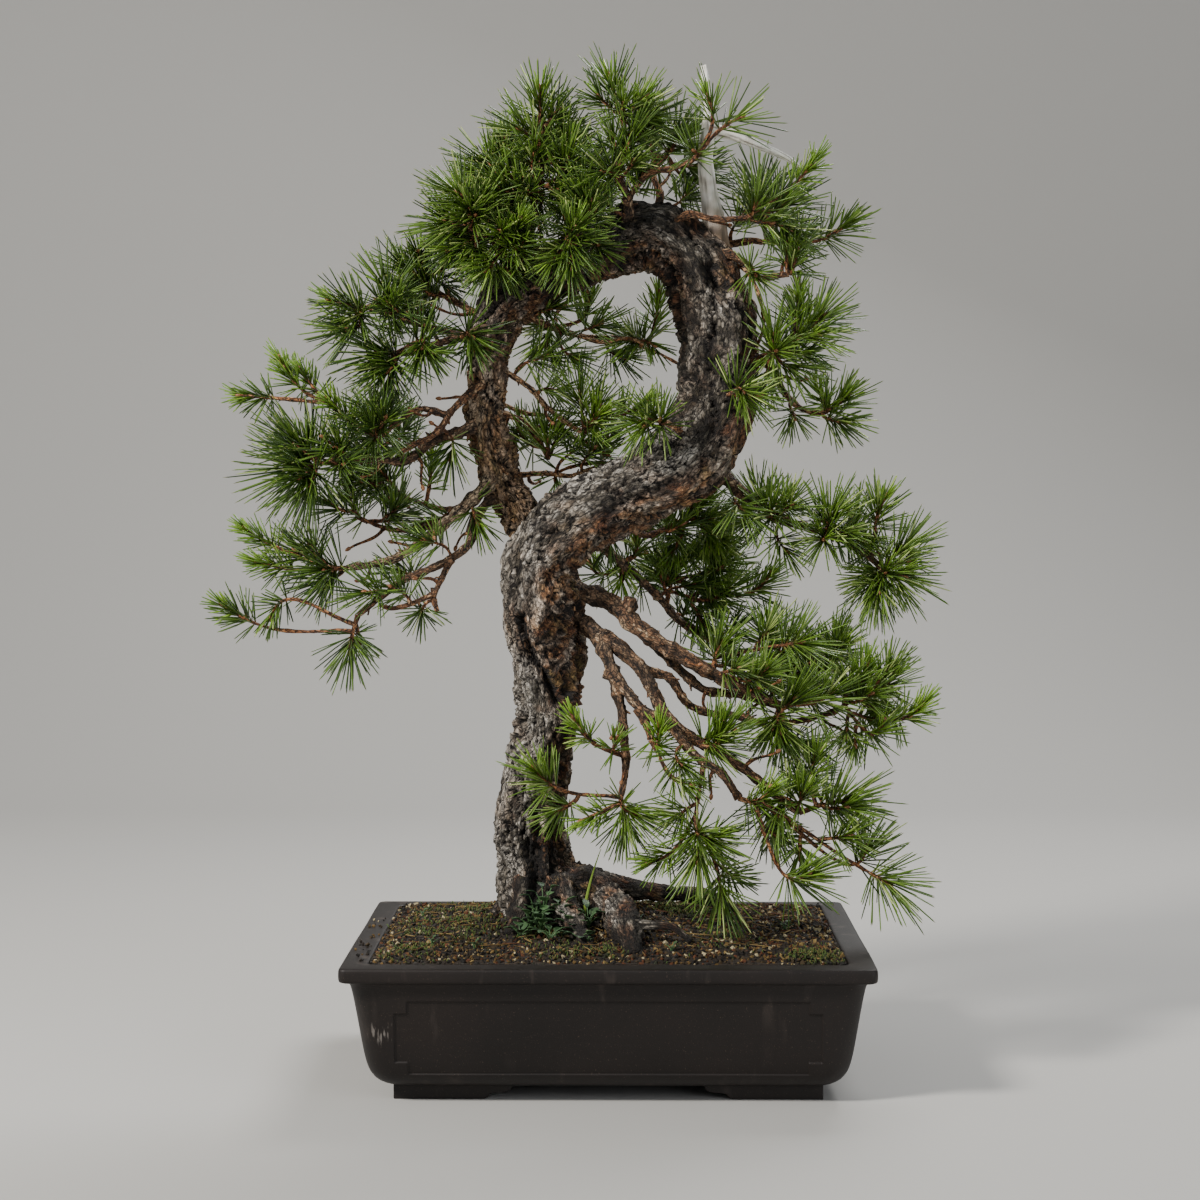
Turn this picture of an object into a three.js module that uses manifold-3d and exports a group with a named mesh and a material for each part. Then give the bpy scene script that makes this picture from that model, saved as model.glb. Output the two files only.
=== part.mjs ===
// Pitch pine bonsai in a rectangular unglazed stoneware pot, in millimetres, +Z up, front towards -Y.
// The old trunk rises in a double bend, loops over, comes down on the left and crosses behind itself,
// where the lower right limbs grow from its end. Every shoot carries stiff needles on a slim stem.
import * as THREE from "three";
import { mergeVertices } from "three/addons/utils/BufferGeometryUtils.js";
import Module from "manifold-3d";

const wasm = await Module();
wasm.setup();
const { Manifold } = wasm;

// Pot: outer sizes over the rim, wall lines and feet.
const POT_WIDTH = 500;
const POT_DEPTH = 370;
const POT_HEIGHT = 133;
const FOOT_HEIGHT = 13;
const FLOOR_TOP = 24;
const RIM_INNER = 26; // from the rim's outer edge to the opening
const SOIL_EDGE = POT_HEIGHT - 1.5;
const PANEL = { halfWidth: 199, halfDepth: 134, low: 29, high: 100, notch: 12, depth: 1.6 };
const DRAIN = { x: 110, radius: 15 };
const SCREEN = { size: 48, thickness: 1.5, bar: 3, openings: 2 };
const GAP = 0.35; // left between neighbouring solids

// Needles: true length and thickness of a mature one.
const NEEDLE_LENGTH = 50;
const NEEDLE_RADIUS = 0.85;
const LEAFY_LENGTH = 9; // behind the middle of a tuft, and as much past it
const BANDS = 3; // along the leafy end, each with two needles
const SHOOT_RADIUS = 1.9;
const SHOOT_TIP = 9;
const LEAST_CLEAR = 1.1; // between the growth of different sprays
const CANDLE = 20; // extra length of a young shoot

// Places are read from the front against the plane y = 0. A point at another depth
// moves along the line of sight of a viewer who stands this far off, at this height.
const VIEWER = { x: 10, distance: 2283, z: 559 };

function at(x, y, z) {
  const k = (VIEWER.distance + y) / VIEWER.distance;
  return new THREE.Vector3(VIEWER.x + (x - VIEWER.x) * k, y, VIEWER.z + (z - VIEWER.z) * k);
}

// Trunk: x, depth, z and radius from the soil to the end that carries the lower limbs.
const TRUNK = [
  [-64, 25, 95, 42], [-64, 25, 135, 44], [-64, 25, 165, 40], [-72, 22, 195, 35], [-78, 18, 235, 32],
  [-75, 12, 270, 31.5], [-70, 8, 310, 29], [-62, 4, 350, 26], [-66, 0, 390, 25], [-75, -4, 430, 27],
  [-76, -8, 470, 28], [-70, -10, 505, 31], [-50, -12, 532, 32], [-20, -12, 553, 33],
  [20, -10, 572, 35], [60, -6, 592, 37], [90, 0, 620, 36], [104, 4, 655, 34], [108, 8, 700, 38],
  [108, 12, 740, 37], [92, 16, 785, 34], [70, 20, 812, 31], [40, 24, 824, 31], [5, 28, 815, 28],
  [-35, 32, 800, 26], [-75, 36, 782, 26], [-105, 38, 755, 25], [-118, 40, 720, 20],
  [-119, 44, 680, 18], [-121, 46, 640, 19], [-115, 50, 610, 18], [-103, 54, 580, 18],
  [-88, 56, 555, 19], [-72, 54, 525, 20], [-58, 48, 495, 21], [-48, 38, 460, 22],
  [-46, 26, 425, 21], [-45, 16, 395, 18], [-46, 8, 370, 12],
];
const TRUNK_SPLIT = 26; // point at which the returning half of the trunk is made as its own tube

// Roots: x, depth, z, radius.
const ROOTS = [
  [
    [-50, 28, 188, 24], [-18, 40, 184, 15], [25, 48, 176, 9], [65, 52, 172, 8], [100, 56, 168, 7],
    [132, 60, 150, 5],
  ],
  [
    [-45, 15, 178, 24], [-8, 2, 168, 18], [8, -30, 158, 17], [15, -70, 142, 15], [20, -104, 127, 11],
    [26, -128, 108, 7],
  ],
  [[-75, 8, 178, 26], [-86, -28, 152, 17], [-98, -62, 128, 8]],
  [[-58, 4, 172, 26], [-42, -38, 150, 14], [-30, -75, 132, 9], [-16, -104, 112, 5]],
  [[-78, 36, 172, 26], [-104, 74, 160, 14], [-135, 102, 142, 7]],
  [[-84, 26, 172, 24], [-116, 32, 154, 13], [-146, 26, 134, 7]],
  [[14, -80, 141, 6], [42, -92, 140, 4], [64, -90, 138, 3.4], [82, -98, 124, 2.6]],
];

// Bleached deadwood: the old leader, and its side branch.
const DEADWOOD = [
  [
    [106, 18, 800, 14], [106, 21, 828, 11], [101, 24, 858, 8.5], [95, 26, 900, 6.5],
    [98, 26, 935, 6.4], [98, 26, 962, 4.4], [93, 26, 994, 3.6],
  ],
  [[98, 26, 932, 6], [122, 24, 926, 5], [150, 22, 915, 4], [176, 20, 903, 2.8], [194, 18, 890, 1.4]],
];

// Limbs: start radius, end radius, then x, depth, z along each.
const LIMBS = {
  lowerTop: [10, 4.5, [
    [-50, 34, 470], [-18, 18, 471], [8, 4, 460], [24, -4, 442], [45, -10, 428], [75, -14, 408],
    [105, -12, 392], [138, -8, 373], [170, -4, 362],
  ]],
  lowerTopStub: [6, 5.4, [[12, 2, 452], [20, -3, 458], [22, -6, 468]]],
  lowerTopFork: [5.5, 3.2, [
    [42, -8, 429], [58, 6, 410], [74, 14, 393], [95, 20, 377], [125, 26, 372], [150, 30, 367],
  ]],
  lowerMain: [8.5, 3.4, [
    [-48, 26, 452], [-25, 0, 443], [-8, -14, 430], [12, -20, 417], [32, -26, 398], [45, -30, 372],
    [58, -34, 350], [82, -38, 328], [108, -42, 316], [135, -44, 297], [165, -44, 272], [190, -40, 254],
  ]],
  lowerDrop: [6.5, 3, [
    [-8, -14, 430], [-1, -24, 407], [5, -32, 385], [12, -36, 360], [15, -40, 325], [17, -44, 298],
    [12, -50, 270],
  ]],
  lowerBack: [4.5, 2.8, [
    [32, -24, 398], [60, -12, 388], [78, -2, 364], [98, 6, 354], [130, 10, 350], [160, 14, 342],
    [200, 18, 348], [228, 20, 356],
  ]],
  lowerFront: [5.5, 3.6, [
    [2, -28, 396], [18, -40, 374], [32, -48, 358], [58, -56, 342], [84, -60, 313], [112, -62, 293],
    [130, -64, 268],
  ]],
  lowerStub: [4.2, 3.2, [[30, -48, 358], [38, -54, 341], [42, -56, 327]]],
  backLow: [5, 2.4, [
    [-34, 4, 542], [2, 34, 512], [28, 54, 490], [50, 62, 468], [70, 68, 446], [105, 74, 425],
    [140, 78, 405], [175, 82, 392], [222, 84, 398],
  ]],
  backUp: [4.4, 2.4, [[9, -1, 559], [35, 34, 531], [60, 48, 539], [78, 54, 547]]],
  rightLow: [7, 2.8, [
    [96, 8, 606], [118, 12, 586], [140, 8, 566], [162, 4, 551], [190, 0, 541], [225, -4, 530],
    [255, -8, 512], [272, -10, 497],
  ]],
  rightMid: [4.6, 3, [[122, -14, 700], [138, -12, 703], [152, -10, 708]]],
  rightDrop: [4.2, 2.4, [
    [128, 14, 706], [160, 18, 698], [173, 22, 673], [190, 24, 657], [210, 24, 651],
  ]],
  rightFront: [3.4, 2.4, [[107, -7, 666], [122, -40, 671]]],
  shoulderLow: [4.6, 3, [
    [86, 10, 806], [118, -4, 808], [136, -5, 799], [147, -6, 785], [165, -6, 787], [178, -6, 789],
  ]],
  shoulderBack: [4.8, 3, [[84, 30, 815], [112, 34, 817], [140, 36, 822], [152, 36, 821]]],
  shoulderFront: [4.4, 2.6, [[53, 14, 827], [78, -4, 848], [105, -14, 843], [138, -20, 845]]],
  crownTop: [5.6, 2.6, [[17, 19, 826], [18, 0, 866], [7, -8, 888], [12, -10, 915], [15, -10, 936]]],
  crownBack: [4.6, 2.4, [[44, 24, 836], [50, 42, 866], [44, 52, 890], [56, 54, 905]]],
  crownFront: [3.6, 2.2, [[16, 0, 860], [40, -18, 889], [64, -28, 893], [84, -34, 902]]],
  crownMid: [3.4, 2.2, [[-13, 21, 813], [-32, -24, 828], [-40, -38, 825]]],
  crownLeftTop: [5.6, 2.8, [
    [-55, 25, 795], [-80, 8, 825], [-76, 4, 855], [-68, 2, 885], [-68, 0, 922],
  ]],
  crownLeft: [5.4, 3, [[-85, 28, 777], [-100, 4, 804], [-114, -4, 823]]],
  crownLeftBack: [3.4, 2.4, [[-76, 6, 850], [-92, 22, 868], [-105, 30, 884]]],
  crownDeep: [4.8, 2.4, [[-28, 30, 812], [-34, 62, 848], [-44, 88, 880]]],
  crownDeepLeft: [4.8, 2.4, [[-72, 36, 790], [-100, 70, 826], [-130, 86, 848]]],
  leftHigh: [5.2, 2.4, [
    [-111, 31, 736], [-140, 6, 730], [-165, -2, 722], [-192, -8, 713], [-212, -8, 711],
  ]],
  leftHighFork: [3.2, 2, [[-146, 4, 728], [-178, 10, 737], [-210, 8, 747], [-240, 4, 756]]],
  leftHighBack: [4, 2.2, [[-110, 36, 738], [-138, 46, 754], [-160, 50, 766], [-176, 50, 777]]],
  leftMid: [6.4, 2.6, [
    [-120, 39, 648], [-150, 24, 632], [-176, 18, 625], [-190, 14, 612], [-206, 10, 604],
    [-230, 6, 606], [-258, 2, 605], [-283, 0, 603],
  ]],
  leftMidFork: [4.6, 2.4, [
    [-120, 37, 685], [-142, 6, 668], [-158, 0, 652], [-170, -6, 634], [-190, -12, 622],
    [-208, -14, 614],
  ]],
  leftMidTwig: [3, 2, [[-160, 0, 650], [-188, -8, 656], [-212, -12, 641], [-230, -16, 626]]],
  leftLow: [7, 2.8, [
    [-110, 46, 592], [-130, 32, 572], [-150, 26, 553], [-175, 18, 533], [-200, 12, 514],
    [-230, 8, 503], [-260, 4, 498],
  ]],
  leftLowFork: [5.2, 2.4, [
    [-108, 50, 580], [-134, 28, 545], [-137, 20, 525], [-155, 8, 509], [-178, 2, 497], [-205, -4, 486],
    [-228, -10, 468], [-250, -16, 451],
  ]],
  leftLowTwig: [3.2, 2, [[-163, 22, 543], [-190, 32, 537], [-215, 38, 536], [-240, 42, 544]]],
  leftLowBack: [3.6, 2.6, [[-148, 28, 556], [-164, 42, 557], [-178, 47, 559]]],
  leftLowHook: [3, 2, [
    [-158, 6, 506], [-168, -2, 486], [-175, -8, 473], [-193, -14, 464], [-216, -18, 458],
    [-230, -20, 462],
  ]],
  leftLowStub: [2.8, 2.2, [[-173, -6, 478], [-174, -8, 466], [-171, -8, 455]]],
  innerTop: [3.8, 2.2, [[-93, 36, 754], [-55, 48, 736], [-20, 56, 727], [20, 60, 724], [46, 64, 711]]],
  innerMid: [3.2, 2, [[-113, 39, 699], [-80, 38, 678], [-62, 42, 658], [-40, 44, 641], [-24, 44, 631]]],
  innerLow: [3.2, 2, [[-115, 42, 655], [-85, 46, 643], [-70, 50, 625], [-61, 50, 607]]],
  innerDeep: [3, 1.9, [[-98, 52, 590], [-62, 64, 592], [-35, 66, 590], [-4, 62, 602]]],
  innerFront: [3, 2.2, [[82, -10, 624], [56, -40, 643], [44, -44, 645]]],
};

// Sprays: the limb and the share of its length at which the spray starts, then its shoots:
// x, depth, z, angle of the shoot in the front view, lean to the viewer, size, share that is young.
const SPRAYS = {
  crown_top: ["crownTop", 1, [
    [5, -6, 964, 104, 0.1, 0.95, 0.5], [22, -16, 950, 42, 0.3, 0.9, 0.5],
    [26, 0, 940, 15, -0.1, 1, 0.1],
  ]],
  crown_peak_left: ["crownLeftTop", 1, [
    [-68, 0, 950, 92, 0.1, 0.95, 0.6], [-78, -10, 926, 152, 0.3, 1, 0.1],
    [-56, 12, 922, 35, -0.2, 0.9, 0.1],
  ]],
  crown_left_back: ["crownLeftBack", 1, [
    [-112, 30, 890, 132, 0.1, 1, 0.1], [-94, 46, 905, 102, -0.3, 0.9, 0.1],
  ]],
  crown_left_tip: ["crownLeft", 1, [
    [-152, -8, 840, 174, 0.1, 1, 0], [-140, -26, 862, 142, 0.35, 0.95, 0.1],
    [-142, -2, 818, 200, 0.2, 0.85, 0.4], [-92, -34, 828, 70, 0.7, 0.8, 0.5],
    [-112, -26, 800, 218, 0.5, 0.85, 0.2],
  ]],
  crown_deep_left: ["crownDeepLeft", 1, [
    [-140, 94, 862, 148, -0.3, 1, 0.1], [-152, 78, 836, 192, -0.2, 0.9, 0.1],
    [-112, 108, 840, 120, -0.7, 0.95, 0],
  ]],
  crown_deep: ["crownDeep", 1, [
    [-52, 98, 896, 100, -0.4, 1, 0.1], [-14, 102, 878, 55, -0.5, 1, 0.1],
    [-78, 100, 868, 150, -0.5, 0.95, 0.1], [-26, 62, 866, 80, 0.1, 0.9, 0.1],
  ]],
  crown_mid_high: ["crownLeftTop", 0.62, [
    [-44, -20, 892, 72, 0.5, 0.95, 0.1], [-44, 14, 918, 96, 0, 0.85, 0.4],
    [-98, -18, 868, 152, 0.5, 0.9, 0.1],
  ]],
  crown_centre: ["crownTop", 0.5, [[0, -34, 890, 190, 0.75, 1, 0], [18, -26, 915, 70, 0.5, 0.9, 0.1]]],
  crown_back: ["crownBack", 1, [
    [62, 54, 918, 48, 0, 1, 0.1], [40, 70, 908, 104, -0.3, 1, 0.1], [80, 84, 882, 22, -0.5, 1, 0.1],
  ]],
  crown_star: ["crownFront", 1, [
    [89, -38, 908, 170, 0.85, 0.95, 0], [118, -30, 938, 22, 0.2, 0.95, 0.2],
    [104, -22, 948, 112, 0.1, 0.8, 0.4],
  ]],
  crown_mid: ["crownMid", 1, [
    [-42, -46, 822, -25, 0.65, 0.95, 0], [-22, -32, 858, 120, 0.5, 0.9, 0.1],
  ]],
  shoulder_star: ["shoulderFront", 1, [
    [144, -26, 850, 84, 0.5, 1.05, 0], [170, -12, 854, 40, 0.3, 0.95, 0.1],
    [190, -4, 882, 55, 0.1, 0.55, 0.9],
  ]],
  shoulder_tip: ["shoulderBack", 1, [
    [222, 36, 826, 45, 0.1, 0.85, 0.7], [165, 46, 850, 62, -0.2, 1, 0.1],
    [150, 66, 868, 98, -0.45, 1, 0.1],
  ]],
  shoulder_low: ["shoulderLow", 1, [[183, -6, 796, 78, 0.1, 0.8, 0.3]]],
  right_mid: ["rightMid", 1, [
    [194, -16, 728, 0, 0.5, 0.9, 0.2], [202, -8, 740, 38, 0, 1, 0.2], [188, -4, 752, 92, 0, 0.5, 1],
    [162, -16, 718, 80, 0.2, 0.95, 0.1], [172, -4, 700, -22, 0.2, 0.9, 0],
  ]],
  right_front: ["rightFront", 1, [[130, -48, 677, -60, 0.85, 0.95, 0]]],
  right_drop: ["rightDrop", 1, [[222, 24, 656, 44, 0.1, 0.9, 0.6], [212, 16, 664, 112, 0.2, 0.5, 0.5]]],
  right_low_star: ["rightLow", 0.42, [
    [161, -16, 550, 92, 0.8, 1.05, 0], [150, 22, 560, 110, -0.4, 0.9, 0],
  ]],
  right_low_mid: ["rightLow", 0.68, [
    [218, -20, 543, 84, 0.65, 1.05, 0], [244, 8, 532, 96, -0.1, 0.95, 0.1],
  ]],
  right_low_tip: ["rightLow", 1, [
    [280, -18, 492, -12, 0.5, 1, 0.3], [266, -14, 488, -104, 0.3, 0.95, 0],
    [286, -4, 514, 34, 0.1, 0.95, 0.2], [264, 2, 550, 62, 0.1, 0.8, 0.6],
  ]],
  inner_top: ["innerTop", 1, [[28, 54, 726, 190, 0.5, 0.95, 0], [47, 68, 744, 84, 0, 0.6, 0.9]]],
  inner_hanging: ["innerTop", 0.28, [
    [-62, 52, 729, -92, 0.2, 0.9, 0.1], [-18, 62, 750, 98, 0.1, 0.6, 0.6],
  ]],
  inner_mid: ["innerMid", 1, [
    [-28, 42, 662, 94, 0.2, 1, 0], [-18, 36, 640, 55, 0.5, 0.8, 0.3], [20, 52, 652, 30, 0.1, 0.7, 0.6],
  ]],
  inner_low: ["innerLow", 1, [[-60, 46, 612, 92, 0.3, 0.85, 0.2], [-84, 60, 624, 118, 0, 0.8, 0.1]]],
  inner_deep: ["innerDeep", 1, [[-8, 60, 616, 60, 0, 0.8, 0.1], [-56, 72, 582, -35, 0, 0.7, 0.2]]],
  inner_front: ["innerFront", 1, [[38, -48, 646, 205, 0.75, 0.95, 0]]],
  left_high_tip: ["leftHigh", 1, [
    [-220, -10, 712, 180, 0.1, 1.05, 0], [-212, -24, 700, 222, 0.3, 0.95, 0],
    [-182, -28, 724, 250, 0.65, 1, 0],
  ]],
  left_high_star: ["leftHigh", 0.32, [[-141, -24, 731, -35, 0.75, 0.95, 0.1]]],
  left_high_fork: ["leftHighFork", 1, [
    [-255, 2, 757, 162, 0.1, 0.85, 0.7], [-250, -12, 735, 182, 0.2, 0.95, 0],
    [-216, 16, 770, 126, 0, 1, 0.1], [-206, -10, 752, 150, 0.5, 0.8, 0.3],
  ]],
  left_high_back: ["leftHighBack", 1, [
    [-180, 50, 783, 108, 0, 0.8, 0.4], [-160, 62, 796, 90, -0.2, 0.8, 0.1],
    [-192, 74, 748, 168, -0.4, 0.95, 0.1], [-200, 44, 788, 118, 0, 0.85, 0.1],
  ]],
  left_mid_tip: ["leftMid", 1, [
    [-302, -4, 598, 184, 0.1, 1.1, 0], [-292, -18, 590, 238, 0.3, 1, 0],
    [-292, 4, 612, 142, 0.1, 1, 0], [-262, -14, 614, 160, 0.5, 0.9, 0],
  ]],
  left_mid_twig: ["leftMidTwig", 1, [
    [-297, -8, 680, 122, 0.1, 0.5, 0.4], [-314, -2, 680, 116, 0, 0.6, 1],
    [-345, 4, 668, 176, 0.1, 0.6, 0.6], [-232, -22, 628, 100, 0.3, 1.05, 0],
    [-262, -14, 648, 130, 0.3, 0.55, 0.8],
  ]],
  left_mid_back: ["leftMid", 0.55, [
    [-222, 40, 632, 120, -0.3, 1, 0.1], [-240, 52, 612, 165, -0.3, 1, 0],
  ]],
  left_low_back: ["leftLowBack", 1, [
    [-226, 60, 578, 152, 0, 0.9, 0.1], [-238, 48, 592, 138, 0.1, 0.8, 0.1],
    [-177, 46, 588, 88, 0.05, 0.45, 1],
  ]],
  left_low_twig: ["leftLowTwig", 1, [
    [-256, 44, 552, 98, 0, 0.6, 0.8], [-208, 44, 549, 116, 0.1, 0.85, 0.5],
    [-270, 30, 556, 140, 0.2, 0.7, 0.2],
  ]],
  left_low_star: ["leftLow", 1, [
    [-277, -4, 497, 190, 0.85, 1.05, 0], [-302, 12, 510, 152, 0, 0.85, 0.1],
    [-340, 14, 522, 146, 0, 0.6, 1], [-326, 2, 497, 162, 0.1, 0.6, 0.9],
  ]],
  left_low_drop: ["leftLowFork", 1, [
    [-258, -22, 423, -90, 0.5, 0.9, 0], [-333, -16, 462, -104, 0.2, 0.6, 0.2],
    [-365, -10, 446, 142, 0.1, 0.7, 0.8],
  ]],
  lower_high: ["backUp", 1, [
    [90, 56, 552, 72, 0, 0.8, 0.5], [102, 64, 538, 28, -0.1, 0.9, 0.1], [68, 74, 522, -30, 0, 0.8, 0],
  ]],
  lower_back_inner: ["backLow", 0.22, [
    [30, 46, 514, 110, 0.4, 0.7, 0.2], [-14, 58, 490, 112, -0.1, 0.7, 0.3],
    [12, 50, 476, 92, 0, 0.6, 0.7],
  ]],
  lower_back_mid: ["backLow", 0.42, [
    [66, 76, 494, 62, 0.1, 0.8, 0.1], [114, 74, 504, 74, 0, 0.9, 0.3], [110, 66, 468, 48, 0.2, 1, 0.1],
    [150, 72, 475, 58, 0, 0.7, 0.6],
  ]],
  lower_back_tip: ["backLow", 1, [
    [222, 84, 416, 72, 0, 0.85, 0.6], [160, 88, 420, 92, 0.1, 0.95, 0.6],
    [190, 100, 400, 30, -0.4, 1, 0.1],
  ]],
  lower_top_star: ["lowerTop", 0.72, [
    [107, 12, 415, 60, 0.4, 0.9, 0.1], [184, 4, 423, 10, 0.6, 1.05, 0],
    [150, -20, 388, 60, 0.3, 0.8, 0.2],
  ]],
  lower_top_tip: ["lowerTop", 1, [
    [178, -12, 362, 42, 0.2, 1, 0], [168, -22, 344, -72, 0.4, 0.95, 0], [212, -4, 366, 35, 0, 1, 0.1],
  ]],
  lower_back_end: ["lowerBack", 1, [
    [252, 22, 378, 78, 0.1, 0.95, 0.8], [276, 28, 378, 60, 0, 0.85, 0.3],
    [268, 8, 328, 70, 0.1, 0.75, 0.5], [300, 14, 344, 55, 0, 0.65, 0.9],
  ]],
  lower_main_high: ["lowerMain", 0.62, [[114, -50, 322, 88, 0.3, 1, 0.6]]],
  lower_main_tip: ["lowerMain", 1, [
    [228, -36, 265, 8, 0.45, 1.1, 0], [216, -28, 264, 130, 0, 0.5, 1],
    [200, -22, 298, 62, 0, 0.8, 0.6], [168, -56, 268, -80, 0.3, 0.95, 0.1],
  ]],
  lower_front_tip: ["lowerFront", 1, [
    [150, -72, 262, 60, 0.4, 0.7, 0.6], [188, -78, 184, 40, 0.4, 1, 0.3],
    [272, -60, 187, -25, 0.45, 1.05, 0], [256, -40, 210, 78, 0, 0.95, 0],
  ]],
  lower_front_loop: ["lowerFront", 0.72, [
    [94, -70, 224, 28, 0.2, 0.95, 0.4], [90, -82, 215, -100, 0.4, 1, 0],
    [56, -66, 207, 190, 0.2, 0.6, 0.3], [112, -78, 178, -88, 0.2, 1, 0],
  ]],
  lower_stub_twig: ["lowerStub", 1, [
    [50, -58, 312, 90, 0.1, 0.55, 1], [70, -62, 283, -5, 0.2, 0.6, 0.1],
  ]],
  lower_drop_tip: ["lowerDrop", 1, [
    [14, -62, 256, -10, 0.5, 1, 0.2], [-12, -60, 252, 200, 0.4, 0.5, 0.4],
    [-65, -56, 284, 120, 0.3, 0.85, 0.5],
  ]],
  lower_drop_side: ["lowerDrop", 0.76, [
    [-26, -52, 330, 118, 0.2, 0.6, 0.6], [4, -60, 318, 70, 0.4, 0.5, 0.1],
  ]],
};

// Solids from geometries, and back.
function solid(geometry) {
  geometry.deleteAttribute("normal");
  geometry.deleteAttribute("uv");
  const merged = mergeVertices(geometry, 1e-4);
  return new Manifold(new wasm.Mesh({
    numProp: 3,
    vertProperties: merged.attributes.position.array,
    triVerts: new Uint32Array(merged.index.array),
  }));
}

function geometryOf(made) {
  const mesh = made.getMesh();
  const geometry = new THREE.BufferGeometry();
  geometry.setAttribute("position", new THREE.BufferAttribute(new Float32Array(mesh.vertProperties), 3));
  geometry.setIndex(new THREE.BufferAttribute(mesh.triVerts, 1));
  geometry.computeVertexNormals();
  return geometry;
}

// A closed tube: a cylinder's rows are carried along the curve, at radius(t, angle) from it.
function tube(curve, radius, sides, steps) {
  const geometry = new THREE.CylinderGeometry(1, 1, 1, sides, steps);
  const position = geometry.attributes.position;
  const frames = frameAlong(curve, steps);
  const v = new THREE.Vector3();
  for (let i = 0; i < position.count; i++) {
    v.fromBufferAttribute(position, i);
    const t = 0.5 - v.y;
    const row = frames[Math.round(t * steps)];
    const share = Math.hypot(v.x, v.z);
    const reach = share < 1e-6 ? 0 : radius(t, Math.atan2(v.z, v.x));
    const across = v.x / (share || 1) * reach;
    const along = v.z / (share || 1) * reach;
    v.copy(row.point).addScaledVector(row.normal, across).addScaledVector(row.binormal, along);
    position.setXYZ(i, v.x, v.y, v.z);
  }
  return solid(geometry);
}

// Points, and side directions that turn as little as they can, at even steps along a curve.
function frameAlong(curve, steps) {
  const frames = [];
  let normal = null;
  for (let i = 0; i <= steps; i++) {
    const tangent = curve.getTangentAt(i / steps);
    if (!normal) normal = Math.abs(tangent.z) < 0.9 ? new THREE.Vector3(0, 0, 1) : new THREE.Vector3(1, 0, 0);
    normal = normal.clone().addScaledVector(tangent, -normal.dot(tangent)).normalize();
    frames.push({
      point: curve.getPointAt(i / steps),
      normal,
      binormal: tangent.clone().cross(normal),
    });
  }
  return frames;
}

function smooth(points) {
  return new THREE.CatmullRomCurve3(points, false, "centripetal");
}

// A tube through points that hold their own radius as a fourth number.
function graded(rows, sides, steps, relief = () => 0, extra = 0) {
  const curve = smooth(rows.map(([x, y, z]) => at(x, y, z)));
  const share = rows.map((_, i) => lengthShare(curve, i / (rows.length - 1)));
  const radius = (t, angle) => {
    let i = 1;
    while (i < share.length - 1 && t > share[i]) i++;
    const u = (t - share[i - 1]) / (share[i] - share[i - 1]);
    const r = rows[i - 1][3] + (rows[i][3] - rows[i - 1][3]) * u;
    return r * (1 + relief(t, angle)) + extra;
  };
  return tube(curve, radius, sides, steps);
}

// The share of a curve's length that lies before its parameter u.
function lengthShare(curve, u) {
  const lengths = curve.getLengths();
  const at = u * (lengths.length - 1);
  const low = Math.min(Math.floor(at), lengths.length - 2);
  return (lengths[low] + (lengths[low + 1] - lengths[low]) * (at - low)) / lengths[lengths.length - 1];
}

// Bark plates on the trunk: ridges that wander along it, broken crosswise.
function bark(t, angle) {
  const ridges = Math.sin(5 * angle + 3 * Math.sin(22 * t)) * 0.05;
  const plates = Math.sin(120 * t + 2 * Math.sin(2 * angle)) * Math.sin(3 * angle + 40 * t) * 0.04;
  return ridges + plates;
}

function limbCurve(name) {
  return smooth(LIMBS[name][2].map(([x, y, z]) => at(x, y, z)));
}

// The wood is made twice: true, and grown by the gap, which cuts its neighbours clear.
function wood(extra) {
  const parts = [
    graded(TRUNK.slice(0, TRUNK_SPLIT + 1), 11, 44, bark, extra),
    graded(TRUNK.slice(TRUNK_SPLIT), 8, 19, bark, extra),
    ...ROOTS.map((rows) => graded(rows, 5, 5, () => 0, extra)),
    ...DEADWOOD.map((rows) => graded(rows, 5, 5, () => 0, extra)),
  ];
  for (const name of Object.keys(LIMBS)) {
    const [start, end, points] = LIMBS[name];
    const sides = start > 6 ? 5 : start > 4 ? 4 : 3;
    const steps = Math.max(2, points.length - 1);
    parts.push(tube(limbCurve(name), (t) => start + (end - start) * t + extra, sides, steps));
  }
  return Manifold.union(parts);
}

// Every stretch of wood as a capsule, for needles to keep clear of.
function capsules(curve, radius, steps, owner) {
  const found = [];
  for (let i = 0; i < steps; i++) {
    const a = curve.getPointAt(i / steps);
    const b = curve.getPointAt((i + 1) / steps);
    found.push({ a, b, r: Math.max(radius(i / steps), radius((i + 1) / steps)), owner });
  }
  return found;
}

function woodCapsules() {
  const found = [];
  const rowsOf = [TRUNK, ...ROOTS, ...DEADWOOD];
  for (const rows of rowsOf)
    for (let i = 1; i < rows.length; i++) {
      const [a, b] = [rows[i - 1], rows[i]];
      found.push({
        a: at(a[0], a[1], a[2]),
        b: at(b[0], b[1], b[2]),
        r: Math.max(a[3], b[3]) * 1.1,
        owner: "wood",
      });
    }
  for (const name of Object.keys(LIMBS)) {
    const [start, end] = LIMBS[name];
    found.push(...capsules(limbCurve(name), (t) => start + (end - start) * t, 12, "wood"));
  }
  return found;
}

// Whether a segment is plainly out of an obstacle's reach.
function tooFar(a, b, o) {
  const dx = (a.x + b.x - o.a.x - o.b.x) / 2;
  const dy = (a.y + b.y - o.a.y - o.b.y) / 2;
  const dz = (a.z + b.z - o.a.z - o.b.z) / 2;
  const reach = (a.distanceTo(b) + o.a.distanceTo(o.b)) / 2 + o.r + 4;
  return dx * dx + dy * dy + dz * dz > reach * reach;
}

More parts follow.
